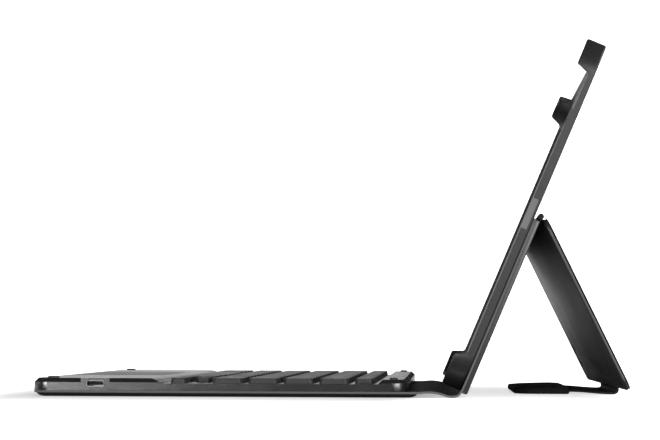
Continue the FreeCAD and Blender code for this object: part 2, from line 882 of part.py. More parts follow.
def spine_sheet():
    """Wave of carrier sheet between the two fold axes, with round ends on the axes."""
    half = CARRIER / 2
    crest = (crest_y, crest_z - SPINE_CREST_RADIUS)
    trough = (trough_y, trough_z + SPINE_TROUGH_RADIUS)

    def bearing(centre, point):
        return math.degrees(math.atan2(point[1] - centre[1], point[0] - centre[0]))

    start = bearing(crest, spine_axis)
    change = bearing(crest, trough)
    end = bearing(trough, holder_axis)
    edges = [
        side_arc(crest, SPINE_CREST_RADIUS + half, start, change),
        side_arc(trough, SPINE_TROUGH_RADIUS - half, change - 180, end),
        side_arc(holder_axis, half, end + 180, end),
        side_arc(trough, SPINE_TROUGH_RADIUS + half, end, change - 180),
        side_arc(crest, SPINE_CREST_RADIUS - half, change, start),
        side_arc(spine_axis, half, start + 180, start),
    ]
    return across_case(edges, keyboard_half)


# Holder


def wall_gap(length, low, high, thickness, floor):
    """Block that takes a wall down to floor over a length, with drafted, rounded ends that leave the clips."""
    spread = (shell_height - floor) * math.tan(math.radians(CLIP_DRAFT))
    above = shell_height + SHELL_EDGE
    flare = CLIP_ROUND + SHELL_EDGE
    corners = [
        (low + spread, floor, CLIP_ROOT),
        (high - spread, floor, CLIP_ROOT),
        (high, shell_height, CLIP_ROUND),
        (high + flare, shell_height, 0),
        (high + flare, above, 0),
        (low - flare, above, 0),
        (low - flare, shell_height, 0),
        (low, shell_height, CLIP_ROUND),
    ]
    block = Part.Face(rounded_profile(corners)).extrude(Vector(0, thickness, 0))
    block.translate(Vector(0, length, 0))
    return block


def side_gap(side, reach, floor):
    """Gap in a side wall between its lower clip and an upper clip of the given reach."""
    band = shell_corner + FIT
    gap = wall_gap(0, SHELL_FOOT + CLIP_REACH, shell_end - reach, band, floor)
    gap.Placement = FreeCAD.Placement(Vector(side + band, 0, 0), FreeCAD.Rotation(Vector(0, 0, 1), 90))
    return gap


def tablet_shell():
    half = shell_width / 2
    body = rounded_plate(-half, half, SHELL_FOOT, shell_end, 0, shell_height, shell_corner)
    rims = [edge for edge in body.Edges if edge.BoundBox.ZLength < FIT]
    body = body.makeChamfer(SHELL_EDGE, rims)
    pocket_low = SHELL_FOOT + SHELL_WALL
    pocket_high = shell_end - SHELL_WALL
    inner = pocket_width / 2
    pocket = rounded_plate(-inner, inner, pocket_low, pocket_high, SHELL_PLATE, lip_height, pocket_corner)
    mouth = rounded_plate(
        -inner + LIP_OVERHANG,
        inner - LIP_OVERHANG,
        pocket_low + LIP_OVERHANG,
        pocket_high - LIP_OVERHANG,
        SHELL_PLATE,
        shell_height + FIT,
        pocket_corner - LIP_OVERHANG,
    )
    body = body.cut([pocket, mouth])
    band = shell_corner
    ends = (SHELL_FOOT - FIT, shell_end - band)
    gaps = [
        wall_gap(start, -half + CLIP_REACH, half - CLIP_REACH, band + FIT, END_WALL_HEIGHT) for start in ends
    ]
    button_side = -half - FIT
    port_side = half - band
    low_end = box(
        port_side, half + FIT, shell_end - LOW_SIDE_LENGTH, shell_end, END_WALL_HEIGHT, shell_height + SHELL_EDGE
    )
    gaps.append(side_gap(button_side, CAMERA_CLIP_REACH, END_WALL_HEIGHT))
    gaps.append(side_gap(port_side, CLIP_REACH, SIDE_WALL_HEIGHT))
    gaps.append(side_gap(port_side, CLIP_REACH, END_WALL_HEIGHT).common(low_end))
    middle = SHELL_FOOT + shell_length / 2
    port = box(
        half - band, half + FIT, middle - PORT_SLOT / 2, middle + PORT_SLOT / 2, SHELL_PLATE, shell_height
    )
    lens = Part.makeCylinder(CAMERA_HOLE / 2, shell_height, Vector(camera_x, camera_up, -FIT))
    shell = body.cut(gaps + [port, lens])
    shell.translate(Vector(0, 0, plate_back))
    return on_holder(shell)


back_top = stand_fold[0] - roll_clear


def back_carrier():
    return on_holder(
        box(-keyboard_half, keyboard_half, carrier_end, back_top, -CARRIER / 2, CARRIER / 2)
    )


def back_board_block(inset):
    """Block of the lower back's board, drawn in from the cover's outline."""
    half = keyboard_half - inset
    return box(-half, half, carrier_end + inset, back_top - inset, back_outer + SKIN, -CARRIER / 2)


def back_skin():
    cover = box(-keyboard_half, keyboard_half, carrier_end, back_top, back_outer, -CARRIER / 2)
    return on_holder(cover.cut(back_board_block(SKIN)))


def back_board():
    return on_holder(back_board_block(SKIN + FIT))


def stand_hinge_roll():
    roll = Part.makeCylinder(
        ROLL_RADIUS, 2 * keyboard_half, Vector(-keyboard_half, 0, 0), Vector(1, 0, 0)
    )
    roll.translate(Vector(0, *stand_axis))
    return roll


# Stand


def lens_hole():
    return Part.makeCylinder(CAMERA_HOLE / 2, 2 * stand_seat, Vector(camera_x, camera_along, -stand_seat / 2))


def stand_skin():
    tray = wrapped_skin(keyboard_half, roll_clear, stand_end, stand_outer, stand_seat - LINING, COVER_CORNER)
    return on_stand(tray.cut(lens_hole()))


def stand_board():
    board = board_inside(
        keyboard_half, roll_clear, stand_end, stand_outer + SKIN, stand_seat - LINING, COVER_CORNER
    )
    return on_stand(board.cut(lens_hole()))


def stand_lining():
    sheet = rounded_plate(
        -keyboard_half, keyboard_half, roll_clear, stand_end, stand_seat - LINING, stand_seat, COVER_CORNER
    )
    tongue = box(
        -TAB_WIDTH / 2,
        TAB_WIDTH / 2,
        stand_end - COVER_CORNER,
        strap_along - strap_end,
        stand_seat - LINING,
        stand_seat,
    )
    return on_stand(sheet.fuse(tongue).removeSplitter().cut(lens_hole()))


# Closing tab


def tab_strap():
    """Flat strap along the floor, with round ends on its two fold axes."""
    half = STRAP_THICKNESS / 2
    edges = [
        side_line((tip_axis[0], strap_z + half), (strap_axis[0], strap_z + half)),
        side_arc(strap_axis, half, 90, -90),
        side_line((strap_axis[0], strap_z - half), (tip_axis[0], strap_z - half)),
        side_arc(tip_axis, half, 270, 90),
    ]
    return across_case(edges, TAB_WIDTH / 2)


tip_rear = tip_axis[0] - strap_end
tip_front = tip_rear - TIP_LENGTH


def tip_layer(z0, z1):
    """Layer of the tab's tip: round at the free end, straight at the fold."""
    half = TAB_WIDTH / 2
    plate = rounded_plate(-half, half, tip_front, tip_rear + TIP_CORNER, z0, z1, TIP_CORNER)
    return plate.common(box(-half, half, tip_front, tip_rear, z0, z1))


def magnet_boxes(grow):
    """The magnets' blocks in a row along the tip, grown by a clearance."""
    spacing = (TAB_WIDTH - 2 * TIP_WALL) / MAGNET_COUNT
    middle = (tip_front + tip_rear) / 2
    blocks = []
    for number in range(MAGNET_COUNT):
        x = (number - (MAGNET_COUNT - 1) / 2) * spacing
        across = MAGNET_LENGTH / 2 + grow
        along = MAGNET_WIDTH / 2 + grow
        blocks.append(
            box(x - across, x + across, middle - along, middle + along, TIP_BASE, TIP_BASE + MAGNET_THICKNESS + grow)
        )
    return blocks


def tab_tip_base():
    return tip_layer(0, TIP_BASE)


def tab_tip_cover():
    return tip_layer(TIP_BASE, TIP_THICKNESS).cut(magnet_boxes(FIT))


def tab_magnets():
    return Part.makeCompound(magnet_boxes(0))


PIECES = (
    base_skin,
    base_board,
    base_carrier,
    catch_plate,
    bottom_case,
    top_case,
    deck_bumpers,
    key_frame,
    key_support_plate,
    membrane_sheet,
    dome_sheet,
    trackpad,
    trackpad_bracket,
    trackpad_switch,
    main_board,
    board_components,
    flat_ribbon,
    battery,
    usb_c_socket,
    spine_sheet,
    tablet_shell,
    back_carrier,
    back_skin,
    back_board,
    stand_hinge_roll,
    stand_skin,
    stand_board,
    stand_lining,
    tab_strap,
    tab_tip_base,
    tab_tip_cover,
    tab_magnets,
)


def main():
    os.makedirs("parts", exist_ok=True)
    for piece in PIECES:
        piece().exportStep(f"parts/{piece.__name__}.step")
    for name in sorted({key[0] for key in keys}):
        key_node(name).exportStep(f"parts/{name}.step")
    axes = {"spine": spine_axis, "holder": holder_axis, "stand": stand_axis, "strap": strap_axis, "tip": tip_axis}
    for name, (y, z) in axes.items():
        print(f"{name} fold axis at y {y:.4f}, z {z:.4f}")
    print(f"trackpad turns about y {trackpad_rear:.4f}, z {palm_z - TRACKPAD_THICKNESS:.4f}")
    print(f"stand angle {stand_angle:.4f}, strap length {strap_length:.4f}, key travel {KEY_TRAVEL}")


main()
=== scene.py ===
"""Folio keyboard case for a tablet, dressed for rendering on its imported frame."""

import json
import math

import bpy
import bmesh
from mathutils import Matrix, Vector


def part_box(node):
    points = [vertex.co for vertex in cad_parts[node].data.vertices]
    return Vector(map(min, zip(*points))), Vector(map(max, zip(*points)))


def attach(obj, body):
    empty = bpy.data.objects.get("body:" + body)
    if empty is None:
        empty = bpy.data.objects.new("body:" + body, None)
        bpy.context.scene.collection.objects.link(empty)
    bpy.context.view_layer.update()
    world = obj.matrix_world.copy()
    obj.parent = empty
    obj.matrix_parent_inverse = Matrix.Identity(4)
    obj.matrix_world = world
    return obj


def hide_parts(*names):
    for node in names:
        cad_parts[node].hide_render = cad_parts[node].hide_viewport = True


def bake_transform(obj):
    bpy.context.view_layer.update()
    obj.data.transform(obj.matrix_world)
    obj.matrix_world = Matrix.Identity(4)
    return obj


bl_info = {
    "name": "Folio Keyboard Case",
    "version": (1, 0, 0),
    "blender": (4, 5, 0),
    "location": "View3D > Sidebar > Folio",
    "description": "Leather, plastic and legends for a folio keyboard case with a folding stand",
    "category": "Object",
}

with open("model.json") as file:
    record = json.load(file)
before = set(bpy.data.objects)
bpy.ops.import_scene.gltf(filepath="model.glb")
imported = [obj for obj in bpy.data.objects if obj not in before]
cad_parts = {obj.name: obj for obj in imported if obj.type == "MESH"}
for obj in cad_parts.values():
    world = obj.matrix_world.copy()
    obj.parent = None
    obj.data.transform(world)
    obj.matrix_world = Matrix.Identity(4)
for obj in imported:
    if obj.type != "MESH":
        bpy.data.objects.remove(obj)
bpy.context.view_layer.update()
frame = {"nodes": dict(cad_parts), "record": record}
NODES = frame["nodes"]
JOINT_AT = {joint["name"]: joint for joint in frame["record"]["behaviour"]["joints"]}

# Fold axes of the frame, and the lean of holder and stand
SPINE_AXIS = Vector(JOINT_AT["spine_fold"]["pos_m"])
HOLDER_AXIS = Vector(JOINT_AT["holder_fold"]["pos_m"])
STAND_AXIS = Vector(JOINT_AT["stand_fold"]["pos_m"])
STRAP_AXIS = Vector(JOINT_AT["tab_fold"]["pos_m"])
TIP_AXIS = Vector(JOINT_AT["tip_fold"]["pos_m"])
HOLDER_LEAN = math.radians(67.0)
STAND_LEAN = math.radians(-64.1209)

# Arcs of the spine's wave, and lengths and layers of the two panels, as the frame draws them
CREST_RADIUS = 0.025
CREST_RUN = 0.0043
TROUGH_RADIUS = 0.009
TROUGH_RUN = 0.0042
STAND_ALONG = 0.09355
BACK_BOARD = 0.0014
STAND_BOARD = 0.0008
STAND_SEAT = 0.00245
STRAP_LEVEL = 0.00205
COVER_CORNER = 0.006
FOLD_GAP = 0.0003

# Edges sharper than this angle are shaded as edges, and corners closer than this are one
SHARP_ABOVE = math.radians(38)
WELD = 0.000002


def length(name, text, value):
    """A length in metres for the panel."""
    return bpy.props.FloatProperty(
        name=name, description=text, default=value, min=0.0, unit="LENGTH", precision=5
    )


def tint(name, text, value):
    """A linear colour for the panel."""
    return bpy.props.FloatVectorProperty(
        name=name, description=text, default=value, size=3, min=0.0, max=1.0, subtype="COLOR"
    )


class FolioSizes(bpy.types.PropertyGroup):
    """Sizes that the dressing adds to the frame."""

    skin: length("Skin", "Thickness of the leather skin", 0.0008)
    carrier: length("Carrier sheet", "Thickness of the sheet under keyboard, spine and back", 0.0011)
    lining: length("Lining", "Thickness of the stand's lining", 0.0008)
    sheet_edge: length("Sheet edge", "Rounding along the carrier's cut edge", 0.00022)
    fold_bend: length("Fold bend", "Half the length over which the carrier bends at a fold", 0.0032)
    strap: length("Strap", "Thickness of the closing strap", 0.0012)
    strap_bend: length("Strap bend", "Radius of the strap's bend at the stand's foot", 0.0028)
    tip_crown: length("Tip crown", "Rise of the tip's top towards its middle", 0.0003)
    roll: length("Roll", "Radius of the leather roll at the stand's fold", 0.0015)
    key_round: length("Key rounding", "Rounding of keycap edges", 0.0004)
    case_round: length("Case rounding", "Rounding of moulded edges", 0.0004)
    legend: length("Legend", "Height of single letters on the keys", 0.0031)
    word: length("Word legend", "Height of words on the wide keys", 0.0022)


class FolioColours(bpy.types.PropertyGroup):
    """Colours of the finishes."""

    leather: tint("Leather", "Leather of base, spine and strap", (0.007, 0.007, 0.0074))
    panel: tint("Panel leather", "Leather of the stand's back and the lower back", (0.012, 0.012, 0.0126))
    lining: tint("Lining", "Microfibre inside the stand", (0.0068, 0.0068, 0.0072))
    cut_edge: tint("Cut edge", "Cut edge of the carrier sheet", (0.042, 0.042, 0.043))
    housing: tint("Housing", "Moulded keyboard housing", (0.0065, 0.0065, 0.0068))
    keycap: tint("Keycap", "Keycaps", (0.0095, 0.0095, 0.01))
    legend: tint("Legend", "Printed legends", (0.62, 0.62, 0.62))
    shell: tint("Shell", "Tablet shell", (0.0075, 0.0075, 0.008))
    steel: tint("Steel", "Inner plates", (0.42, 0.42, 0.43))
    socket: tint("Socket", "Darkened shell of the charging socket", (0.13, 0.13, 0.13))


def sizes():
    """The scene's sizes."""
    return bpy.context.scene.folio_sizes


def colours():
    """The scene's colours."""
    return bpy.context.scene.folio_colours


# Meshes


def upright(y, z, x):
    """A point of the case's own frame."""
    return Vector((x, y, z))


def leaning(axis, lean, along, level, x):
    """A point of a leaning panel's own frame."""
    c, s = math.cos(lean), math.sin(lean)
    return Vector((x, axis.y + along * c - level * s, axis.z + along * s + level * c))


def from_holder(along, level, x=0.0):
    """A point of the holder's frame: along the plate from its fold, and level towards the tablet."""
    return leaning(HOLDER_AXIS, HOLDER_LEAN, along, level, x)


def from_stand(along, level, x=0.0):
    """A point of the stand's frame: along the flap from its fold, and level towards the shut shell."""
    return leaning(STAND_AXIS, STAND_LEAN, along, level, x)


def placed(name, data):
    """A mesh, light or camera as an object of the scene."""
    thing = bpy.data.objects.new(name, data)
    bpy.context.scene.collection.objects.link(thing)
    return thing


def new_object(name, verts, faces, material_of=None):
    """A smooth-shaded mesh object whose edges stay sharp above an angle."""
    mesh = bpy.data.meshes.new(name)
    mesh.from_pydata([tuple(v) for v in verts], [], faces)
    mesh.validate()
    bm = bmesh.new()
    bm.from_mesh(mesh)
    bmesh.ops.recalc_face_normals(bm, faces=bm.faces)
    bm.to_mesh(mesh)
    bm.free()
    for number, polygon in enumerate(mesh.polygons):
        polygon.use_smooth = True
        if material_of:
            polygon.material_index = material_of[number]
    mesh.set_sharp_from_angle(angle=SHARP_ABOVE)
    return placed(name, mesh)


def lofted(name, rings, slots=None):
    """Closed form through rings of one count. slots has a material number for each side of the ring."""
    count = len(rings[0])
    verts = [point for ring in rings for point in ring]
    faces = []
    numbers = []
    for k in range(len(rings) - 1):
        for i in range(count):
            j = (i + 1) % count
            faces.append((k * count + i, k * count + j, (k + 1) * count + j, (k + 1) * count + i))
            numbers.append(slots[i] if slots else 0)
    last = (len(rings) - 1) * count
    faces.append(tuple(range(count)))
    faces.append(tuple(last + i for i in range(count)))
    numbers += [1 if slots else 0] * 2
    return new_object(name, verts, faces, numbers)


def plan_ring(half, front, rear, radius, inset, steps=8, rear_radius=None):
    """Points of a rounded rectangle, drawn in by inset, as (x, y)."""
    ring = []
    least = 0.00002
    far = radius if rear_radius is None else rear_radius
    corners = ((1, 1, far, 0), (-1, 1, far, 90), (-1, -1, radius, 180), (1, -1, radius, 270))
    for sx, sy, corner, start in corners:
        r = max(corner - inset, least)
        x = sx * (half - inset - r)
        y = (rear - inset - r) if sy > 0 else (front + inset + r)
        for step in range(steps + 1):
            angle = math.radians(start + 90 * step / steps)
            ring.append((x + r * math.cos(angle), y + r * math.sin(angle)))
    return ring


def stacked(name, levels, point, *plan):
    """Closed form through rounded rectangles. Each level has an inset and what point places it by."""
    half, front, rear, radius, *corners = plan
    rings = []
    for inset, level in levels:
        ring = plan_ring(half, front, rear, radius, inset, *corners)
        rings.append([point(y, level, x) for x, y in ring])
    return lofted(name, rings)


def cut_out(thing, cutter):
    """Takes the cutter's form out of a piece for good."""
    tool = thing.modifiers.new("cut", "BOOLEAN")
    tool.operation = "DIFFERENCE"
    tool.solver = "EXACT"
    tool.object = cutter
    settle(thing)
    bpy.data.objects.remove(cutter, do_unlink=True)


def settle(thing):
    """Makes a piece's modifiers part of its mesh."""
    bpy.context.view_layer.update()
    graph = bpy.context.evaluated_depsgraph_get()
    made = thing.evaluated_get(graph)
    mesh = bpy.data.meshes.new_from_object(made, preserve_all_data_layers=True, depsgraph=graph)
    thing.modifiers.clear()
    thing.data = mesh


def rounded_edges(thing, width, segments=2, angle=30.0, clamped=True):
    """Rounds a piece's edges without touching its mesh, whose split corners are joined first."""
    weld = thing.modifiers.new("weld", "WELD")
    weld.merge_threshold = WELD
    bevel = thing.modifiers.new("rounding", "BEVEL")
    bevel.width = width
    bevel.segments = segments
    bevel.limit_method = "ANGLE"
    bevel.angle_limit = math.radians(angle)
    bevel.use_clamp_overlap = clamped


def joined_corners(mesh):
    """Joins a mesh's split corners, and takes out faces with no area."""
    bm = bmesh.new()
    bm.from_mesh(mesh)
    bmesh.ops.remove_doubles(bm, verts=bm.verts, dist=WELD)
    bmesh.ops.dissolve_degenerate(bm, edges=bm.edges, dist=WELD)
    bm.to_mesh(mesh)
    bm.free()


def upright_cylinder(name, centre, axis, radius, half_length, sides=40):
    """Cylinder about an axis, used to cut the camera hole."""
    along = axis.normalized()
    across = along.orthogonal().normalized()
    other = along.cross(across)
    rings = []
    for end in (-half_length, half_length):
        ring = []
        for side in range(sides):
            angle = 2 * math.pi * side / sides
            spoke = across * math.cos(angle) + other * math.sin(angle)
            ring.append(centre + along * end + radius * spoke)
        rings.append(ring)
    return lofted(name, rings)


def sheet_section(point, normal, half, thickness, edge):
    """Ring of a sheet's cross-section at one station of its path."""
    t = thickness / 2
    across = ((-half + edge, -t), (half - edge, -t), (half, -t + edge), (half, t - edge))
    ring = []
    for x, n in across + tuple((-x, -n) for x, n in across):
        ring.append(point + Vector((x, 0, 0)) + normal * n)
    return ring


# Material number of each side of a sheet's section
SHEET_SIDES = (0, 1, 1, 1, 0, 1, 1, 1)


def sheet_along(name, path, halves, thickness, edge):
    """Sheet that follows a path of points across the case; its cut edges are the second material."""
    rings = []
    for k, point in enumerate(path):
        before = path[max(k - 1, 0)]
        after = path[min(k + 1, len(path) - 1)]
        along = (after - before).normalized()
        normal = Vector((0, -along.z, along.y))
        rings.append(sheet_section(point, normal, halves[k], thickness, edge))
    return lofted(name, rings, SHEET_SIDES)


def arc_points(centre, radius, start, end, steps):
    """Points of an arc in the case's side plane."""
    points = []
    for step in range(steps + 1):
        angle = start + (end - start) * step / steps
        y = centre[0] + radius * math.cos(angle)
        z = centre[1] + radius * math.sin(angle)
        points.append(Vector((0, y, z)))
    return points


def bend_points(first, corner, last, steps):
    """Points of a soft bend from one line to another that meets it in a corner."""
    parts = [step / steps for step in range(steps + 1)]
    return [(1 - t) ** 2 * first + 2 * t * (1 - t) * corner + t * t * last for t in parts]


# Finishes


def socket(group, name, kind, way, value=None):
    """One input or output of a node group."""
    made = group.interface.new_socket(name=name, in_out=way, socket_type=kind)
    if value is not None:
        made.default_value = value


def feed(tree, value, target):
    """Links an output to an input, or gives the input a constant."""
    if isinstance(value, bpy.types.NodeSocket):
        tree.links.new(value, target)
    else:
        target.default_value = value


def fill(node, values):
    """Gives a node's inputs their constants."""
    for name, value in values.items():
        node.inputs[name].default_value = value


def math_node(tree, operation, first, second):
    """Result of one sum."""
    node = tree.nodes.new("ShaderNodeMath")
    node.operation = operation
    feed(tree, first, node.inputs[0])
    feed(tree, second, node.inputs[1])
    return node.outputs[0]


def ranged(tree, value, low, high, begin=0.0, end=1.0, shape="LINEAR"):
    """A value between begin and end, spread from low to high."""
    node = tree.nodes.new("ShaderNodeMapRange")
    node.interpolation_type = shape
    feed(tree, value, node.inputs["Value"])
    fill(node, {"From Min": begin, "From Max": end, "To Min": low, "To Max": high})
    return node.outputs["Result"]


def noise(tree, coordinates, scale, detail, roughness=0.5):
    """Grey noise."""
    node = tree.nodes.new("ShaderNodeTexNoise")
    feed(tree, coordinates, node.inputs["Vector"])
    feed(tree, scale, node.inputs["Scale"])
    fill(node, {"Detail": detail, "Roughness": roughness})
    return node.outputs["Fac"]


def shaded(tree, colour, amount):
    """Colour multiplied by a grey value."""
    node = tree.nodes.new("ShaderNodeVectorMath")
    node.operation = "SCALE"
    feed(tree, colour, node.inputs[0])
    feed(tree, amount, node.inputs["Scale"])
    return node.outputs[0]


def effect_group(name, scale_name, scale, gloss):
    """Node group with colour, scale and gloss going in, and colour, roughness and height coming out."""
    group = bpy.data.node_groups.new(name, "ShaderNodeTree")
    socket(group, "Colour", "NodeSocketColor", "INPUT")
    socket(group, scale_name, "NodeSocketFloat", "INPUT", scale)
    socket(group, "Gloss", "NodeSocketFloat", "INPUT", gloss)
    socket(group, "Colour", "NodeSocketColor", "OUTPUT")
    for output in ("Roughness", "Height"):
        socket(group, output, "NodeSocketFloat", "OUTPUT")
    given = group.nodes.new("NodeGroupInput")
    made = group.nodes.new("NodeGroupOutput")
    place = group.nodes.new("ShaderNodeTexCoord").outputs["Object"]
    return group, given, made, place


def effect_out(group, given, made, height, tone, uneven):
    """Ends an effect: relief, colour times a tone, and gloss plus what makes it uneven."""
    feed(group, height, made.inputs["Height"])
    feed(group, shaded(group, given.outputs["Colour"], tone), made.inputs["Colour"])
    feed(group, math_node(group, "ADD", given.outputs["Gloss"], uneven), made.inputs["Roughness"])
    return group


def leather_grain():
    """Pebbled grain with finer pores, and soft handling marks over a hand's breadth."""
    group, given, made, place = effect_group("Leather grain", "Pebbles", 1400.0, 0.5)
    cells = group.nodes.new("ShaderNodeTexVoronoi")
    cells.feature = "SMOOTH_F1"
    feed(group, place, cells.inputs["Vector"])
    feed(group, given.outputs["Pebbles"], cells.inputs["Scale"])
    fill(cells, {"Smoothness": 0.7})
    pores = noise(group, place, scale=5200.0, detail=3.0)
    marks = noise(group, place, scale=24.0, detail=4.0, roughness=0.55)
    pebbles = math_node(group, "MULTIPLY", cells.outputs["Distance"], -0.8)
    height = math_node(group, "ADD", pebbles, pores)
    tone = ranged(group, math_node(group, "MULTIPLY", marks, pores), 0.8, 1.5)
    return effect_out(group, given, made, height, tone, ranged(group, marks, -0.1, 0.1))


def moulded_texture():
    """Spark-eroded tool texture with faint wiping marks."""
    group, given, made, place = effect_group("Moulded texture", "Texture", 3800.0, 0.45)
    sparks = noise(group, place, given.outputs["Texture"], detail=2.0)
    marks = noise(group, place, scale=38.0, detail=5.0, roughness=0.6)
    tone = ranged(group, marks, 0.85, 1.2)
    return effect_out(group, given, made, sparks, tone, ranged(group, marks, -0.07, 0.07))


def finish(name, group, colour, scale, gloss, bump, depth=0.0001, metallic=0.0, specular=0.5):
    """A material that places a shared effect, with the effect's own scale and gloss."""
    material = bpy.data.materials.new(name)
    material.use_nodes = True
    tree = material.node_tree
    surface = tree.nodes["Principled BSDF"]
    fill(surface, {"Metallic": metallic, "Specular IOR Level": specular})
    effect = tree.nodes.new("ShaderNodeGroup")
    effect.node_tree = group
    for place, value in zip(effect.inputs, ((*colour, 1.0), scale, gloss)):
        place.default_value = value
    feed(tree, effect.outputs["Colour"], surface.inputs["Base Color"])
    feed(tree, effect.outputs["Roughness"], surface.inputs["Roughness"])
    relief = tree.nodes.new("ShaderNodeBump")
    fill(relief, {"Strength": bump, "Distance": depth})
    feed(tree, effect.outputs["Height"], relief.inputs["Height"])
    feed(tree, relief.outputs["Normal"], surface.inputs["Normal"])


def paint(thing, *names):
    """Gives a piece its finishes for any it has. Clearing an empty list would lose the face numbers."""
    if thing.data.materials:
        thing.data.materials.clear()
    for name in names:
        thing.data.materials.append(bpy.data.materials[name])


def key_nodes():
    """Nodes that hold keycaps."""
    return [node for node in NODES if node.endswith(("_key", "_keys")) or node == "space_bar"]


def painted_edge(thing, across):
    """Gives the faces that stand square to a panel its second finish."""
    steepest = 0.6
    for polygon in thing.data.polygons:
        polygon.material_index = 1 if abs(polygon.normal.dot(across)) < steepest else 0


class FOLIO_OT_finishes(bpy.types.Operator):
    """Make every finish, and put them on the moulded and hidden pieces"""

    bl_idname = "folio.finishes"
    bl_label = "Finishes"

    PLAIN = {
        "Stiff board": ("base_board", "back_board", "stand_board"),
        "Plate steel": ("catch_plate", "key_support_plate", "trackpad_bracket", "trackpad_switch"),
        "Socket steel": ("usb_c_socket",),
        "Magnet plating": ("tab_magnets",),
        "Printed film": ("membrane_sheet", "flat_ribbon"),
        "Dome rubber": ("dome_sheet",),
        "Circuit board": ("main_board",),
        "Component plastic": ("board_components",),
        "Battery pouch": ("battery",),
        "Housing plastic": ("bottom_case", "top_case", "key_frame"),
        "Bumper rubber": ("deck_bumpers",),
        "Trackpad surface": ("trackpad",),
        "Holder plastic": ("tablet_shell",),
    }

    def execute(self, context):
        tone = colours()
        grain = leather_grain()
        moulded = moulded_texture()
        finish("Leather", grain, tone.leather, 1500.0, 0.68, bump=0.8, depth=0.0003, specular=0.12)
        finish("Base leather", grain, tone.leather, 1500.0, 0.62, bump=0.8, depth=0.0003, specular=0.03)
        finish("Panel leather", grain, tone.panel, 1100.0, 0.5, bump=0.8, depth=0.0004, specular=0.4)
        finish("Lining cloth", grain, tone.lining, 3600.0, 0.9, bump=0.8, depth=0.0003, specular=0.05)
        finish("Cut edge", grain, tone.cut_edge, 2600.0, 0.7, bump=0.35)
        finish("Edge paint", moulded, tone.leather, 2200.0, 0.36, bump=0.1)
        finish("Stiff board", grain, (0.19, 0.17, 0.14), 900.0, 0.8, bump=0.3)
        finish("Housing plastic", moulded, tone.housing, 4200.0, 0.25, bump=0.22)
        finish("Keycap plastic", moulded, tone.keycap, 5200.0, 0.36, bump=0.3, depth=0.00015, specular=0.3)
        finish("Holder plastic", moulded, tone.shell, 3200.0, 0.4, bump=0.25, specular=0.35)
        finish("Trackpad surface", moulded, (0.015, 0.015, 0.016), 6400.0, 0.38, bump=0.1)
        finish("Bumper rubber", moulded, (0.008, 0.008, 0.008), 5000.0, 0.6, bump=0.2)
        finish("Dome rubber", moulded, (0.35, 0.35, 0.34), 3000.0, 0.6, bump=0.2)
        finish("Printed film", moulded, (0.5, 0.5, 0.47), 1200.0, 0.3, bump=0.05)
        finish("Circuit board", moulded, (0.01, 0.09, 0.035), 1800.0, 0.35, bump=0.15)
        finish("Component plastic", moulded, (0.02, 0.02, 0.021), 2600.0, 0.4, bump=0.15)
        finish("Socket moulding", moulded, (0.004, 0.004, 0.004), 2600.0, 0.6, bump=0.1, specular=0.1)
        finish("Legend print", moulded, tone.legend, 5200.0, 0.5, bump=0.1)
        finish("Plate steel", moulded, tone.steel, 900.0, 0.35, bump=0.08, metallic=1.0)
        finish("Socket steel", moulded, tone.socket, 1500.0, 0.34, bump=0.05, metallic=1.0)
        finish("Magnet plating", moulded, (0.6, 0.6, 0.62), 1500.0, 0.2, bump=0.05, metallic=1.0)
        finish("Contact plating", moulded, (0.6, 0.42, 0.16), 1500.0, 0.25, bump=0.03, metallic=1.0)
        finish("Battery pouch", moulded, (0.5, 0.5, 0.52), 500.0, 0.35, bump=0.2, metallic=0.8)
        for name, nodes in {**self.PLAIN, "Keycap plastic": key_nodes()}.items():
            for node in nodes:
                paint(NODES[node], name)
        return {"FINISHED"}


class FOLIO_OT_housing(bpy.types.Operator):
    """Round the moulded edges of keyboard, keys, trackpad and shell"""

    bl_idname = "folio.housing"
    bl_label = "Moulded edges"

    SMALL_SHARE = 0.6

    def execute(self, context):
        size = sizes()
        for node in ("top_case", "tablet_shell"):
            rounded_edges(NODES[node], size.case_round, segments=3)
        for node in ("trackpad", "deck_bumpers"):
            rounded_edges(NODES[node], size.key_round * self.SMALL_SHARE)
        for node in key_nodes():
            rounded_edges(NODES[node], size.key_round, segments=3, clamped=False)
        return {"FINISHED"}


LEGENDS = {
    "function_keys": ("esc", *(f"F{number}" for number in range(1, 13)), "del"),
    "number_keys": ("`", "1", "2", "3", "4", "5", "6", "7", "8", "9", "0", "-", "="),
    "upper_letter_keys": ("Q", "W", "E", "R", "T", "Y", "U", "I", "O", "P", "[", "]", "\\"),
    "home_letter_keys": ("A", "S", "D", "F", "G", "H", "J", "K", "L", ";", "'"),
    "lower_letter_keys": ("Z", "X", "C", "V", "B", "N", "M", ",", ".", "/"),
    "backspace_key": ("back",), "tab_key": ("tab",), "caps_lock_key": ("caps",), "enter_key": ("enter",),
    "left_shift_key": ("shift",), "right_shift_key": ("shift",), "fn_key": ("fn",), "control_key": ("ctrl",),
    "left_alt_key": ("alt",), "right_alt_key": ("alt",),
}
ARROWS = {"left_arrow_key": 180, "right_arrow_key": 0, "up_arrow_key": 90, "down_arrow_key": 270}


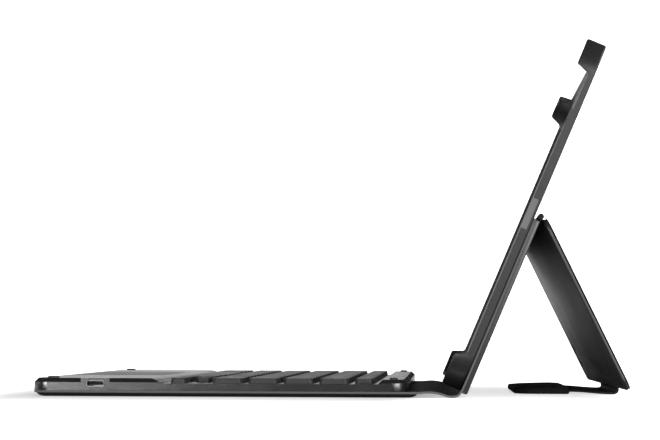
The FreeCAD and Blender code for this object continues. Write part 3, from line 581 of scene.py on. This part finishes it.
class FOLIO_OT_legends(bpy.types.Operator):
    """Print plain letters, digits and arrows on the keycaps"""

    bl_idname = "folio.legends"
    bl_label = "Legends"

    PRINT_RISE = 0.00002
    TOP_BAND = 0.0001
    LEAST_PITCH = 0.004
    FONT_SHARE = 1.45
    ARROW_BACK = 0.7
    ARROW_SPREAD = 0.9

    def tops(self, node):
        """Middles of a node's keycap tops, from left to right."""
        mesh = NODES[node].data
        high = max(v.co.z for v in mesh.vertices)
        bm = bmesh.new()
        bm.from_mesh(mesh)
        bmesh.ops.remove_doubles(bm, verts=bm.verts, dist=WELD)
        middles = []
        seen = set()
        for start in bm.verts:
            if start in seen:
                continue
            island = [start]
            seen.add(start)
            for vert in island:
                for edge in vert.link_edges:
                    other = edge.other_vert(vert)
                    if other not in seen:
                        seen.add(other)
                        island.append(other)
            top = [v.co for v in island if v.co.z > high - self.TOP_BAND]
            if top:
                xs = [point.x for point in top]
                ys = [point.y for point in top]
                middles.append(((min(xs) + max(xs)) / 2, (min(ys) + max(ys)) / 2))
        bm.free()
        merged = []
        for x, y in sorted(middles):
            if not merged or x - merged[-1][0] > self.LEAST_PITCH:
                merged.append((x, y))
        return merged, high

    def text_mesh(self, text, height):
        """Flat mesh of a short text, about its middle."""
        curve = bpy.data.curves.new("legend", "FONT")
        curve.body = text
        curve.align_x = "CENTER"
        curve.align_y = "CENTER"
        curve.size = height * self.FONT_SHARE
        curve.resolution_u = 2
        holder = bpy.data.objects.new("legend", curve)
        mesh = bpy.data.meshes.new_from_object(holder)
        bpy.data.objects.remove(holder)
        bpy.data.curves.remove(curve)
        return mesh

    def arrow_mesh(self, turn):
        """Flat triangle that points along a turn in degrees."""
        a = sizes().word / 2
        back = -a * self.ARROW_BACK
        spread = a * self.ARROW_SPREAD
        turned = Matrix.Rotation(math.radians(turn), 3, "Z")
        corners = [turned @ Vector(point) for point in ((a, 0, 0), (back, spread, 0), (back, -spread, 0))]
        mesh = bpy.data.meshes.new("arrow")
        mesh.from_pydata([tuple(point) for point in corners], [], [(0, 1, 2)])
        return mesh

    def print_on(self, node, meshes):
        """Lays one mesh on each keycap of a node, as one print."""
        middles, high = self.tops(node)
        bm = bmesh.new()
        for (x, y), mesh in zip(middles, meshes):
            mesh.transform(Matrix.Translation((x, y, high + self.PRINT_RISE)))
            bm.from_mesh(mesh)
            bpy.data.meshes.remove(mesh)
        printed = bpy.data.meshes.new(f"{node}_print")
        bm.to_mesh(printed)
        bm.free()
        thing = placed(f"{node}_print", printed)
        paint(thing, "Legend print")
        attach(thing, node)

    def execute(self, context):
        size = sizes()
        for node, texts in LEGENDS.items():
            heights = [size.legend if len(text) == 1 else size.word for text in texts]
            self.print_on(node, [self.text_mesh(*pair) for pair in zip(texts, heights)])
        for node, turn in ARROWS.items():
            self.print_on(node, [self.arrow_mesh(turn)])
        return {"FINISHED"}


class FOLIO_OT_socket(bpy.types.Operator):
    """Dark moulded tongue, with its row of contacts, in the charging socket"""

    bl_idname = "folio.socket"
    bl_label = "Charging socket"

    REACH = 0.0051
    BACK = 0.0003
    HALF_WIDTH = 0.0034
    HALF_HEIGHT = 0.00041
    END_SHARE = 0.4
    WALL_BEHIND = 0.0001
    WALL_BEFORE = 0.00012
    WALL_INSET_Y = 0.0008
    WALL_INSET_Z = 0.00035
    CONTACTS = 12
    CONTACT_PITCH = 0.0005
    CONTACT_SHARE = 0.28
    CONTACT_REACH_SHARE = 0.86
    CONTACT_HALF_HEIGHT = 0.00003

    def block(self, name, x0, x1, y, z, half_y, half_z):
        """A block along x about y and z, whose outer end is drawn in."""
        edge = min(half_y, half_z) * self.END_SHARE
        rings = []
        for x, inset in ((x0, 0.0), (x1 - edge, 0.0), (x1, edge)):
            a, b = half_y - inset, half_z - inset
            corners = ((-a, -b), (a, -b), (a, b), (-a, b))
            rings.append([Vector((x, y + off_y, z + off_z)) for off_y, off_z in corners])
        return lofted(name, rings)

    def contacts(self, low, middle, back):
        """Two rows of contacts on the tongue, as one piece."""
        joined = bmesh.new()
        end = low.x + self.REACH * self.CONTACT_REACH_SHARE
        half = self.CONTACT_PITCH * self.CONTACT_SHARE
        for number in range(self.CONTACTS):
            y = middle.y + (number - (self.CONTACTS - 1) / 2) * self.CONTACT_PITCH
            for side in (-1, 1):
                z = middle.z + side * self.HALF_HEIGHT
                bar = self.block("contact", back, end, y, z, half, self.CONTACT_HALF_HEIGHT)
                joined.from_mesh(bar.data)
                bpy.data.objects.remove(bar, do_unlink=True)
        mesh = bpy.data.meshes.new("socket_contacts")
        joined.to_mesh(mesh)
        joined.free()
        return placed("socket_contacts", mesh)

    def execute(self, context):
        low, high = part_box("usb_c_socket")
        middle = (low + high) / 2
        back = low.x + self.BACK
        tongue = self.block(
            "socket_tongue", back, low.x + self.REACH, middle.y, middle.z, self.HALF_WIDTH, self.HALF_HEIGHT
        )
        paint(tongue, "Socket moulding")
        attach(tongue, "keyboard")
        liner = self.block(
            "socket_back_wall", back - self.WALL_BEHIND, back + self.WALL_BEFORE, middle.y, middle.z,
            (high.y - low.y) / 2 - self.WALL_INSET_Y, (high.z - low.z) / 2 - self.WALL_INSET_Z,
        )
        paint(liner, "Socket moulding")
        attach(liner, "keyboard")
        contacts = self.contacts(low, middle, back)
        paint(contacts, "Contact plating")
        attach(contacts, "keyboard")
        return {"FINISHED"}


class FOLIO_OT_base_cover(bpy.types.Operator):
    """Leather tray under the keyboard, with a soft rolled edge"""

    bl_idname = "folio.base_cover"
    bl_label = "Base cover"

    RIM_SHARE = 0.45
    # Inset and share of the height down the outside of the tray
    ROLLED_EDGE = (
        (0.0, 1.0), (0.0001, 0.84), (0.0004, 0.62), (0.0011, 0.34), (0.0021, 0.12), (0.0032, 0.0)
    )

    def execute(self, context):
        low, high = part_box("base_skin")
        skin = sizes().skin
        levels = [(skin, skin), (skin, high.z), (skin * self.RIM_SHARE, high.z)]
        levels += [(inset, high.z * part) for inset, part in self.ROLLED_EDGE]
        tray = stacked("base_cover", levels, upright, high.x, low.y, high.y, COVER_CORNER)
        paint(tray, "Base leather")
        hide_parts("base_skin")
        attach(tray, "keyboard")
        return {"FINISHED"}


class FOLIO_OT_carrier(bpy.types.Operator):
    """Soft carrier sheet under the keyboard, through the spine's wave and up the lower back"""

    bl_idname = "folio.carrier"
    bl_label = "Carrier sheet"

    CORNER = 0.0075
    CORNER_STEPS = 10
    ARC_STEPS = 12
    RUN_STEPS = 8
    BEND_STEPS = 9
    BEND_SHARE = 1.5
    END_GAP = 0.0004
    # Points at the wave's end that give way to the bend
    GIVEN_WAY = 3

    def wave(self):
        """The spine's wave from fold to fold, as the frame draws it."""
        crest_z = SPINE_AXIS.z + CREST_RADIUS - math.sqrt(CREST_RADIUS**2 - CREST_RUN**2)
        crest = (SPINE_AXIS.y + CREST_RUN, crest_z - CREST_RADIUS)
        trough_z = HOLDER_AXIS.z + math.sqrt(TROUGH_RADIUS**2 - TROUGH_RUN**2)
        trough = (HOLDER_AXIS.y - TROUGH_RUN, trough_z)
        change = math.atan2(trough[1] - crest[1], trough[0] - crest[0])
        start = math.atan2(SPINE_AXIS.z - crest[1], SPINE_AXIS.y - crest[0])
        end = math.atan2(HOLDER_AXIS.z - trough[1], HOLDER_AXIS.y - trough[0])
        upper = arc_points(crest, CREST_RADIUS, start, change, self.ARC_STEPS)
        lower = arc_points(trough, TROUGH_RADIUS, change - math.pi, end, self.ARC_STEPS)
        return upper + lower[1:]

    def front(self, half, y0, z):
        """Stations of the rounded front end: points and half widths."""
        points = []
        halves = []
        for step in range(self.CORNER_STEPS + 1):
            angle = math.radians(90 * step / self.CORNER_STEPS)
            points.append(Vector((0, y0 + self.CORNER * (1 - math.cos(angle)), z)))
            halves.append(half - self.CORNER * (1 - math.sin(angle)))
        return points, halves

    def execute(self, context):
        size = sizes()
        low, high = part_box("base_carrier")
        half = high.x
        wave = self.wave()
        middle = len(wave) // 2
        points, halves = self.front(half, low.y, SPINE_AXIS.z)
        corner_end = points[-1].y
        run = SPINE_AXIS.y - size.fold_bend - corner_end
        for step in range(1, self.RUN_STEPS + 1):
            points.append(Vector((0, corner_end + run * step / self.RUN_STEPS, SPINE_AXIS.z)))
        path = points + wave[: middle + 1]
        halves = halves + [half] * (len(path) - len(halves))
        under = sheet_along("carrier_under_keyboard", path, halves, size.carrier, size.sheet_edge)
        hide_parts("base_carrier")
        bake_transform(under)

        up = (from_holder(1.0, 0.0) - HOLDER_AXIS).normalized()
        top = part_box("back_carrier")[1].z
        last_run = (top - HOLDER_AXIS.z) / up.z - self.END_GAP
        path = list(wave[middle:-self.GIVEN_WAY])
        leave = path[-1]
        reach = size.fold_bend * self.BEND_SHARE
        bend_end = HOLDER_AXIS + up * reach
        path += bend_points(leave, HOLDER_AXIS, bend_end, self.BEND_STEPS)[1:-1]
        for step in range(self.RUN_STEPS + 1):
            path.append(bend_end + up * (last_run - reach) * step / self.RUN_STEPS)
        back = sheet_along("carrier_up_back", path, [half] * len(path), size.carrier, size.sheet_edge)
        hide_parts("spine_sheet", "back_carrier")
        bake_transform(back)
        for sheet in (under, back):
            paint(sheet, "Leather", "Cut edge")
        return {"FINISHED"}


class FOLIO_OT_lower_back(bpy.types.Operator):
    """Leather band over the board of the lower back, and the roll at the stand's fold"""

    bl_idname = "folio.lower_back"
    bl_label = "Lower back"

    FOLD_STEPS = 12
    BAND_CORNER = 0.0012
    CORNER_STEPS = 6
    RIM_SHARE = 0.4
    # Inset and share of the depth down the outside of the band
    OUTSIDE = ((0.0, 0.0), (0.0, 0.55), (0.00012, 0.78), (0.0004, 0.93), (0.0009, 1.0))
    ROLL_SIDES = 20
    # Share of the half width and of the radius along the roll, whose ends are drawn in
    ROLL_ENDS = ((-1, 0.8), (-0.9985, 1.0), (0.9985, 1.0), (1, 0.8))
    STRIP_INSET = 0.0004
    STRIP_SHARE = 0.6
    STRIP_EDGE_SHARE = 0.5

    def band(self, half, start, end, inner, outer):
        """Hollow band of leather from the carrier's end to the stand's fold."""
        skin = sizes().skin
        levels = [(skin, outer + skin), (skin, inner), (skin * self.RIM_SHARE, inner)]
        levels += [(inset, inner - (inner - outer) * part) for inset, part in self.OUTSIDE]
        plan = (half, start, end, self.BAND_CORNER, self.CORNER_STEPS)
        return stacked("lower_back_leather", levels, from_holder, *plan)

    def roll(self, half):
        """Round leather roll on the stand's fold."""
        rings = []
        for side, share in self.ROLL_ENDS:
            radius = sizes().roll * share
            circle = arc_points(STAND_AXIS.yz, radius, 0.0, 2 * math.pi, self.ROLL_SIDES)[:-1]
            rings.append([point + Vector((side * half, 0, 0)) for point in circle])
        return lofted("stand_fold_roll", rings)

    def execute(self, context):
        size = sizes()
        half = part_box("back_skin")[1].x
        across = from_holder(0, 1) - from_holder(0, 0)
        inner = -size.carrier / 2
        outer = inner - BACK_BOARD - size.skin
        start = size.carrier / 2 + FOLD_GAP
        end = STAND_ALONG - size.roll - FOLD_GAP
        band = self.band(half, start, end, inner, outer)
        paint(band, "Panel leather", "Edge paint")
        painted_edge(band, across.normalized())
        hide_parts("back_skin")
        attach(band, "holder")

        roll = self.roll(half)
        paint(roll, "Leather")
        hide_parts("stand_hinge_roll")
        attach(roll, "holder")

        first = from_holder(end, outer + size.skin / 2) - STAND_AXIS
        last = from_stand(size.roll + FOLD_GAP, size.skin / 2) - STAND_AXIS
        begin_at = math.atan2(first.z, first.y)
        finish_at = math.atan2(last.z, last.y)
        radius = (first.length + last.length) / 2
        path = arc_points(STAND_AXIS.yz, radius, begin_at, finish_at, self.FOLD_STEPS)
        halves = [half - self.STRIP_INSET] * len(path)
        thick, edge = size.skin * self.STRIP_SHARE, size.sheet_edge * self.STRIP_EDGE_SHARE
        fold = sheet_along("stand_fold_leather", path, halves, thick, edge)
        paint(fold, "Leather", "Leather")
        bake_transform(fold)
        return {"FINISHED"}


class FOLIO_OT_stand(bpy.types.Operator):
    """Stand flap: leather outside, lining inside, camera hole through both"""

    bl_idname = "folio.stand"
    bl_label = "Stand flap"

    CAMERA_X = -0.1113
    CAMERA_ALONG = 0.07595
    CAMERA_RADIUS = 0.008
    CUTTER_LEVEL = 0.001
    CUTTER_HALF = 0.01
    SHORTENED = 0.0045
    EDGE_ROUND = 0.00025
    EDGE_ANGLE = 50.0
    JOIN_INSET = 0.0003
    JOIN_DEPTH = 0.0002
    # Inset and share of the depth up from the leather's outside
    LEATHER_EDGE = ((0.0, 0.45), (0.00012, 0.22), (0.0004, 0.06), (0.0009, 0.0))
    # Inset and depth below the lining's face
    LINING_EDGE = ((0.0, 0.00035), (0.0001, 0.00012), (0.0005, 0.0))

    def panel(self, name, levels, start, end):
        """Panel through its levels, with the camera hole cut and the edges rounded."""
        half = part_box("stand_skin")[1].x
        panel = stacked(name, levels, from_stand, half, start, end, COVER_CORNER)
        axis = from_stand(0, 1) - from_stand(0, 0)
        centre = from_stand(self.CAMERA_ALONG, self.CUTTER_LEVEL, self.CAMERA_X)
        cut_out(panel, upright_cylinder("hole", centre, axis, self.CAMERA_RADIUS, self.CUTTER_HALF))
        rounded_edges(panel, self.EDGE_ROUND, angle=self.EDGE_ANGLE)
        settle(panel)
        joined_corners(panel.data)
        panel.data.set_sharp_from_angle(angle=SHARP_ABOVE)
        return panel

    def execute(self, context):
        size = sizes()
        start = size.roll + FOLD_GAP
        along = (STRAP_AXIS - STAND_AXIS).length
        end = math.sqrt(along**2 - STRAP_LEVEL**2) - self.SHORTENED
        middle = STAND_SEAT - size.lining
        outer = middle - STAND_BOARD - size.skin
        levels = [(self.JOIN_INSET, middle), (0.0, middle - self.JOIN_DEPTH)]
        levels += [(inset, outer + (middle - outer) * part) for inset, part in self.LEATHER_EDGE]
        skin = self.panel("stand_leather", levels, start, end)
        paint(skin, "Panel leather", "Edge paint")
        painted_edge(skin, (from_stand(0, 1) - from_stand(0, 0)).normalized())
        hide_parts("stand_skin", "stand_board")
        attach(skin, "stand")
        levels = [(self.JOIN_INSET, middle), (0.0, middle + self.JOIN_DEPTH)]
        levels += [(inset, STAND_SEAT - depth) for inset, depth in self.LINING_EDGE]
        lining = self.panel("stand_lining_cloth", levels, start, end)
        paint(lining, "Lining cloth")
        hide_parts("stand_lining")
        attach(lining, "stand")
        return {"FINISHED"}


class FOLIO_OT_tab(bpy.types.Operator):
    """Closing tab: strap that bends under the stand's foot, and the padded magnetic tip"""

    bl_idname = "folio.tab"
    bl_label = "Closing tab"

    TIP_CORNER = 0.010
    REAR_CORNER = 0.002
    CORNER_STEPS = 8
    FRONT_SWELL = 0.0009
    REAR_SWELL = 0.0017
    ARCH = 0.0012
    ARCH_FROM = 0.004
    STRAP_EDGE = 0.0003
    # Where the strap starts inside the stand, up from its fold
    ROOT = (0.0075, 0.006)
    DOWN_FROM = 0.01
    BEND_STEPS = 10
    RUN_STEPS = 5
    TIP_BEND_SHARE = 0.7
    TIP_STEPS = 8
    TIP_STEP = 1 / 3
    # Inset and height of the tip's rolled foot, then inset and share of its height
    FOOT = ((0.0025, 0.0), (0.0008, 0.00008), (0.0002, 0.0004))
    SIDE = ((0.0, 0.4), (0.0001, 0.68), (0.0006, 0.88))
    # Inset and share of the crown's rise still to come
    CROWN = ((0.0018, 1.0), (0.006, 0.3), (0.011, 0.0))

    def arched(self, path):
        """Lifts the strap's path off the floor towards the tip."""
        begin = STRAP_AXIS.y - self.ARCH_FROM
        lifted = []
        for point in path:
            part = min(max((begin - point.y) / (begin - TIP_AXIS.y), 0.0), 1.0)
            lifted.append(point + Vector((0, 0, self.ARCH * part * part * (3 - 2 * part))))
        return lifted

    def tip(self, half):
        """Padded tip: rolled foot, crowned top, and a swell that grows towards the strap."""
        low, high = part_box("tab_tip_base")
        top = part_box("tab_tip_cover")[1].z
        levels = list(self.FOOT)
        levels += [(inset, top * part) for inset, part in self.SIDE]
        levels += [(inset, top - sizes().tip_crown * part) for inset, part in self.CROWN]
        more = (self.REAR_SWELL - self.FRONT_SWELL) / (high.y - low.y)

        def swollen(y, z, x):
            return Vector((x, y, z * (1 + (self.FRONT_SWELL + more * (y - low.y)) / top)))

        plan = (half, low.y, high.y, self.TIP_CORNER, self.CORNER_STEPS, self.REAR_CORNER)
        return stacked("tab_tip_leather", levels, swollen, *plan)

    def execute(self, context):
        size = sizes()
        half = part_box("tab_strap")[1].x
        along = (STRAP_AXIS - STAND_AXIS).length
        down = (STRAP_AXIS - from_stand(along - self.DOWN_FROM, STRAP_LEVEL)).normalized()
        forward = Vector((0, -1, 0))
        inside = math.pi - down.angle(forward)
        tangent = size.strap_bend / math.tan(inside / 2)
        enter = STRAP_AXIS - down * tangent
        leave = STRAP_AXIS + forward * tangent
        middle = (STRAP_AXIS + TIP_AXIS) / 2
        path = [STRAP_AXIS - down * up for up in self.ROOT]
        path += bend_points(enter, STRAP_AXIS, leave, self.BEND_STEPS)
        path += [leave + (middle - leave) * n / self.RUN_STEPS for n in range(1, self.RUN_STEPS + 1)]
        path = self.arched(path)
        strap = sheet_along("strap_at_stand", path, [half] * len(path), size.strap, self.STRAP_EDGE)
        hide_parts("tab_strap")
        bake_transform(strap)

        bend = Vector((0, size.fold_bend * self.TIP_BEND_SHARE, 0))
        run = TIP_AXIS + bend - middle
        path = [middle + run * n / self.RUN_STEPS for n in range(self.RUN_STEPS + 1)]
        path += [TIP_AXIS + bend * (1 - n * self.TIP_STEP) for n in range(1, self.TIP_STEPS + 1)]
        path = self.arched(path)
        second = sheet_along("strap_at_tip", path, [half] * len(path), size.strap, self.STRAP_EDGE)
        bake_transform(second)
        for piece in (strap, second):
            paint(piece, "Leather", "Leather")

        tip = self.tip(half)
        paint(tip, "Leather")
        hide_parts("tab_tip_base", "tab_tip_cover")
        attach(tip, "tip")
        return {"FINISHED"}


class FOLIO_OT_stage(bpy.types.Operator):
    """Pale floor and backdrop, soft studio light and the camera"""

    bl_idname = "folio.stage"
    bl_label = "Stage"

    # Camera fitted to the photograph: place, turns in radians, and focal length in widths of a pixel
    CAMERA_AT = (1.0401, 0.1085, 0.0279)
    YAW = -0.05983
    PITCH = 0.06254
    ROLL = 0.0033
    FOCAL = 1903.5
    FRAME_WIDTH = 660.0
    SENSOR_WIDTH = 36.0
    NEAREST = 0.01
    FARTHEST = 50.0

    # Floor: its glow near the object, how far out it reaches white, and a painted shadow round the keyboard
    # that dims its glow and colour
    FLOOR_TONE = (0.82, 0.82, 0.82)
    FLOOR_GLOW = 0.68
    FLOOR_BELOW = 0.00005
    WHITE_FROM = 0.4
    WHITE_AT = 1.6
    # Painted shadow: the keyboard's rectangle it hugs, how far out it reaches, the darkest share of glow and
    # colour it leaves, and how much shorter it reaches past the ends
    KEYBOARD_Y = -0.01
    KEYBOARD_HALF_X = 0.126
    KEYBOARD_HALF_Y = 0.085
    PAINTED_SHADOW_REACH = 0.16
    CONTACT_SHARE = 0.42
    END_STRETCH = 3.0

    # Stage pieces, as the corners of one face each
    FLOOR = ((-4, -5, 0), (5, -5, 0), (5, 5, 0), (-4, 5, 0))
    BACKDROP = ((-4, -7, -0.01), (-4, 7, -0.01), (-4, 7, 5), (-4, -7, 5))
    REFLECTOR = ((-3.9, -7, 0), (-3.9, 0.03, 0), (-3.9, 0.03, 1.5), (-3.9, -7, 1.5))
    DARK_FLAG = ((0.13, -1.2, 0), (3, -1.2, 0), (3, 0.9, 0), (0.13, 0.9, 0))
    REAR_FLAG = ((-3.8, 0.12, 0), (0.13, 0.12, 0), (0.13, 0.2, 0), (-3.8, 1.0, 0))
    REFLECTOR_GLOW = 0.85
    CARD_TONE = (0.02, 0.02, 0.02)
    BACKDROP_TONE = (0.9, 0.9, 0.9)
    SKY_STRENGTH = 0.05

    def plain(self, name, colour, glow):
        """Dull stage material with a white glow."""
        material = bpy.data.materials.new(name)
        material.use_nodes = True
        surface = material.node_tree.nodes["Principled BSDF"]
        fill(surface, {"Base Color": (*colour, 1.0), "Roughness": 0.9, "Specular IOR Level": 0.1})
        fill(surface, {"Emission Color": (1.0, 1.0, 1.0, 1.0), "Emission Strength": glow})
        return material

    def mirrored_card(self, name, corners, glow):
        """Card that only shows in reflections."""
        card = new_object(name, corners, [(0, 1, 2, 3)])
        card.data.materials.append(self.plain(name, self.CARD_TONE, glow))
        card.visible_camera = False
        card.visible_diffuse = False
        card.visible_shadow = False
        return card

    def fade(self, tree):
        """Floor that glows as white as the backdrop away from the object, with a shadow painted on close
        round the keyboard.
        """
        place = tree.nodes.new("ShaderNodeTexCoord").outputs["Object"]
        reach = tree.nodes.new("ShaderNodeVectorMath")
        reach.operation = "LENGTH"
        feed(tree, place, reach.inputs[0])
        span = (self.WHITE_FROM, self.WHITE_AT, "SMOOTHSTEP")
        glow = ranged(tree, reach.outputs["Value"], self.FLOOR_GLOW, 1.0, *span)
        # Painted shadow round the keyboard, as a share of the floor's glow and colour
        share = self.contact(tree, place)
        surface = tree.nodes["Principled BSDF"]
        feed(tree, math_node(tree, "MULTIPLY", glow, share), surface.inputs["Emission Strength"])
        feed(tree, shaded(tree, self.FLOOR_TONE, share), surface.inputs["Base Color"])

    def contact(self, tree, place):
        """Share of the floor's brightness, which falls off softly close round the keyboard: a painted
        shadow.
        """
        parts = tree.nodes.new("ShaderNodeSeparateXYZ")
        feed(tree, place, parts.inputs[0])
        squares = []
        spans = (
            ("X", 0.0, self.KEYBOARD_HALF_X, 1.0),
            ("Y", self.KEYBOARD_Y, self.KEYBOARD_HALF_Y, self.END_STRETCH),
        )
        for axis, middle, half, stretch in spans:
            off = math_node(tree, "SUBTRACT", parts.outputs[axis], middle)
            off = math_node(tree, "ABSOLUTE", off, 0.0)
            past = math_node(tree, "MAXIMUM", math_node(tree, "SUBTRACT", off, half), 0.0)
            squares.append(math_node(tree, "POWER", math_node(tree, "MULTIPLY", past, stretch), 2.0))
        apart = math_node(tree, "POWER", math_node(tree, "ADD", *squares), 0.5)
        return ranged(tree, apart, self.CONTACT_SHARE, 1.0, 0.0, self.PAINTED_SHADOW_REACH, "SMOOTHSTEP")

    def light(self, name, place, target, size, power, mirrored=True):
        """Soft rectangular light that points at a target."""
        lamp = bpy.data.lights.new(name, "AREA")
        lamp.shape = "RECTANGLE"
        lamp.size, lamp.size_y = size
        lamp.energy = power
        thing = placed(name, lamp)
        thing.location = place
        thing.visible_glossy = mirrored
        thing.rotation_euler = (Vector(target) - Vector(place)).to_track_quat("-Z", "Y").to_euler()

    def turned(self, angle, first, second):
        """Two axes turned about the third."""
        c, s = math.cos(angle), math.sin(angle)
        return c * first + s * second, c * second - s * first

    def camera(self):
        """Camera at the photograph's viewpoint: turned, then tipped, then rolled."""
        forward, right, up = Vector((-1, 0, 0)), Vector((0, 1, 0)), Vector((0, 0, 1))
        forward, right = self.turned(self.YAW, forward, right)
        forward, up = self.turned(self.PITCH, forward, up)
        right, up = self.turned(self.ROLL, right, up)
        data = bpy.data.cameras.new("camera")
        data.sensor_width = self.SENSOR_WIDTH
        data.lens = self.FOCAL / self.FRAME_WIDTH * data.sensor_width
        data.clip_start, data.clip_end = self.NEAREST, self.FARTHEST
        thing = placed("camera", data)
        turn = Matrix((right, up, -forward)).transposed().to_4x4()
        thing.matrix_world = Matrix.Translation(self.CAMERA_AT) @ turn
        bpy.context.scene.camera = thing

    def execute(self, context):
        floor = new_object("floor", self.FLOOR, [(0, 1, 2, 3)])
        floor.location.z = -self.FLOOR_BELOW
        pale = self.plain("Pale floor", self.FLOOR_TONE, self.FLOOR_GLOW)
        self.fade(pale.node_tree)
        floor.data.materials.append(pale)
        wall = new_object("backdrop", self.BACKDROP, [(0, 1, 2, 3)])
        wall.data.materials.append(self.plain("White backdrop", self.BACKDROP_TONE, 1.0))
        wall.visible_glossy = False
        card = self.mirrored_card("reflector", self.REFLECTOR, self.REFLECTOR_GLOW)
        flag = self.mirrored_card("dark flag", self.DARK_FLAG, 0.0)
        under = self.mirrored_card("rear flag", self.REAR_FLAG, 0.0)
        self.light("overhead", (-0.2, 0.0, 1.9), (0, 0.05, 0), size=(3.4, 3.4), power=52.0, mirrored=False)
        self.light("side softbox", (1.4, -0.62, 0.12), (0, -0.02, 0.0), size=(0.5, 0.3), power=17.0)
        self.light("shell softbox", (1.5, 0.36, 0.45), (0.12, 0.16, 0.11), size=(0.34, 0.2), power=4.0)
        self.light("corner softbox", (1.25, 1.08, 0.18), (0.12, 0.08, 0.0), size=(1.1, 0.35), power=26.0)
        self.light("front softbox", (0.35, -2.0, 0.35), (0.1, 0.0, 0.0), size=(0.9, 0.4), power=6.0)
        self.light("rear softbox", (-0.3, 2.4, 1.1), (0, 0.15, 0.05), size=(2.6, 1.5), power=50.0)
        world = bpy.data.worlds.new("studio")
        world.use_nodes = True
        sky = world.node_tree.nodes["Background"]
        fill(sky, {"Color": (*self.BACKDROP_TONE, 1.0), "Strength": self.SKY_STRENGTH})
        scene = bpy.context.scene
        scene.world = world
        scene.view_settings.view_transform = "Standard"
        self.camera()
        return {"FINISHED"}


class FOLIO_PT_panel(bpy.types.Panel):
    """Lists the steps, sizes and colours of the folio case"""

    bl_idname = "FOLIO_PT_panel"
    bl_label = "Folio keyboard case"
    bl_space_type = "VIEW_3D"
    bl_region_type = "UI"
    bl_category = "Folio"

    def draw(self, context):
        for step in STEPS:
            self.layout.operator(step.bl_idname)
        for group in (context.scene.folio_sizes, context.scene.folio_colours):
            for name in group.__annotations__:
                self.layout.prop(group, name)


STEPS = (
    FOLIO_OT_stage,
    FOLIO_OT_finishes,
    FOLIO_OT_housing,
    FOLIO_OT_legends,
    FOLIO_OT_socket,
    FOLIO_OT_base_cover,
    FOLIO_OT_carrier,
    FOLIO_OT_lower_back,
    FOLIO_OT_stand,
    FOLIO_OT_tab,
)
CLASSES = (FolioSizes, FolioColours) + STEPS + (FOLIO_PT_panel,)


def register():
    for kind in CLASSES:
        bpy.utils.register_class(kind)
    bpy.types.Scene.folio_sizes = bpy.props.PointerProperty(type=FolioSizes)
    bpy.types.Scene.folio_colours = bpy.props.PointerProperty(type=FolioColours)


def unregister():
    del bpy.types.Scene.folio_colours
    del bpy.types.Scene.folio_sizes
    for kind in reversed(CLASSES):
        bpy.utils.unregister_class(kind)


def main():
    register()
    for step in STEPS:
        family, name = step.bl_idname.split(".")
        getattr(getattr(bpy.ops, family), name)()


if __name__ == "__main__":
    main()
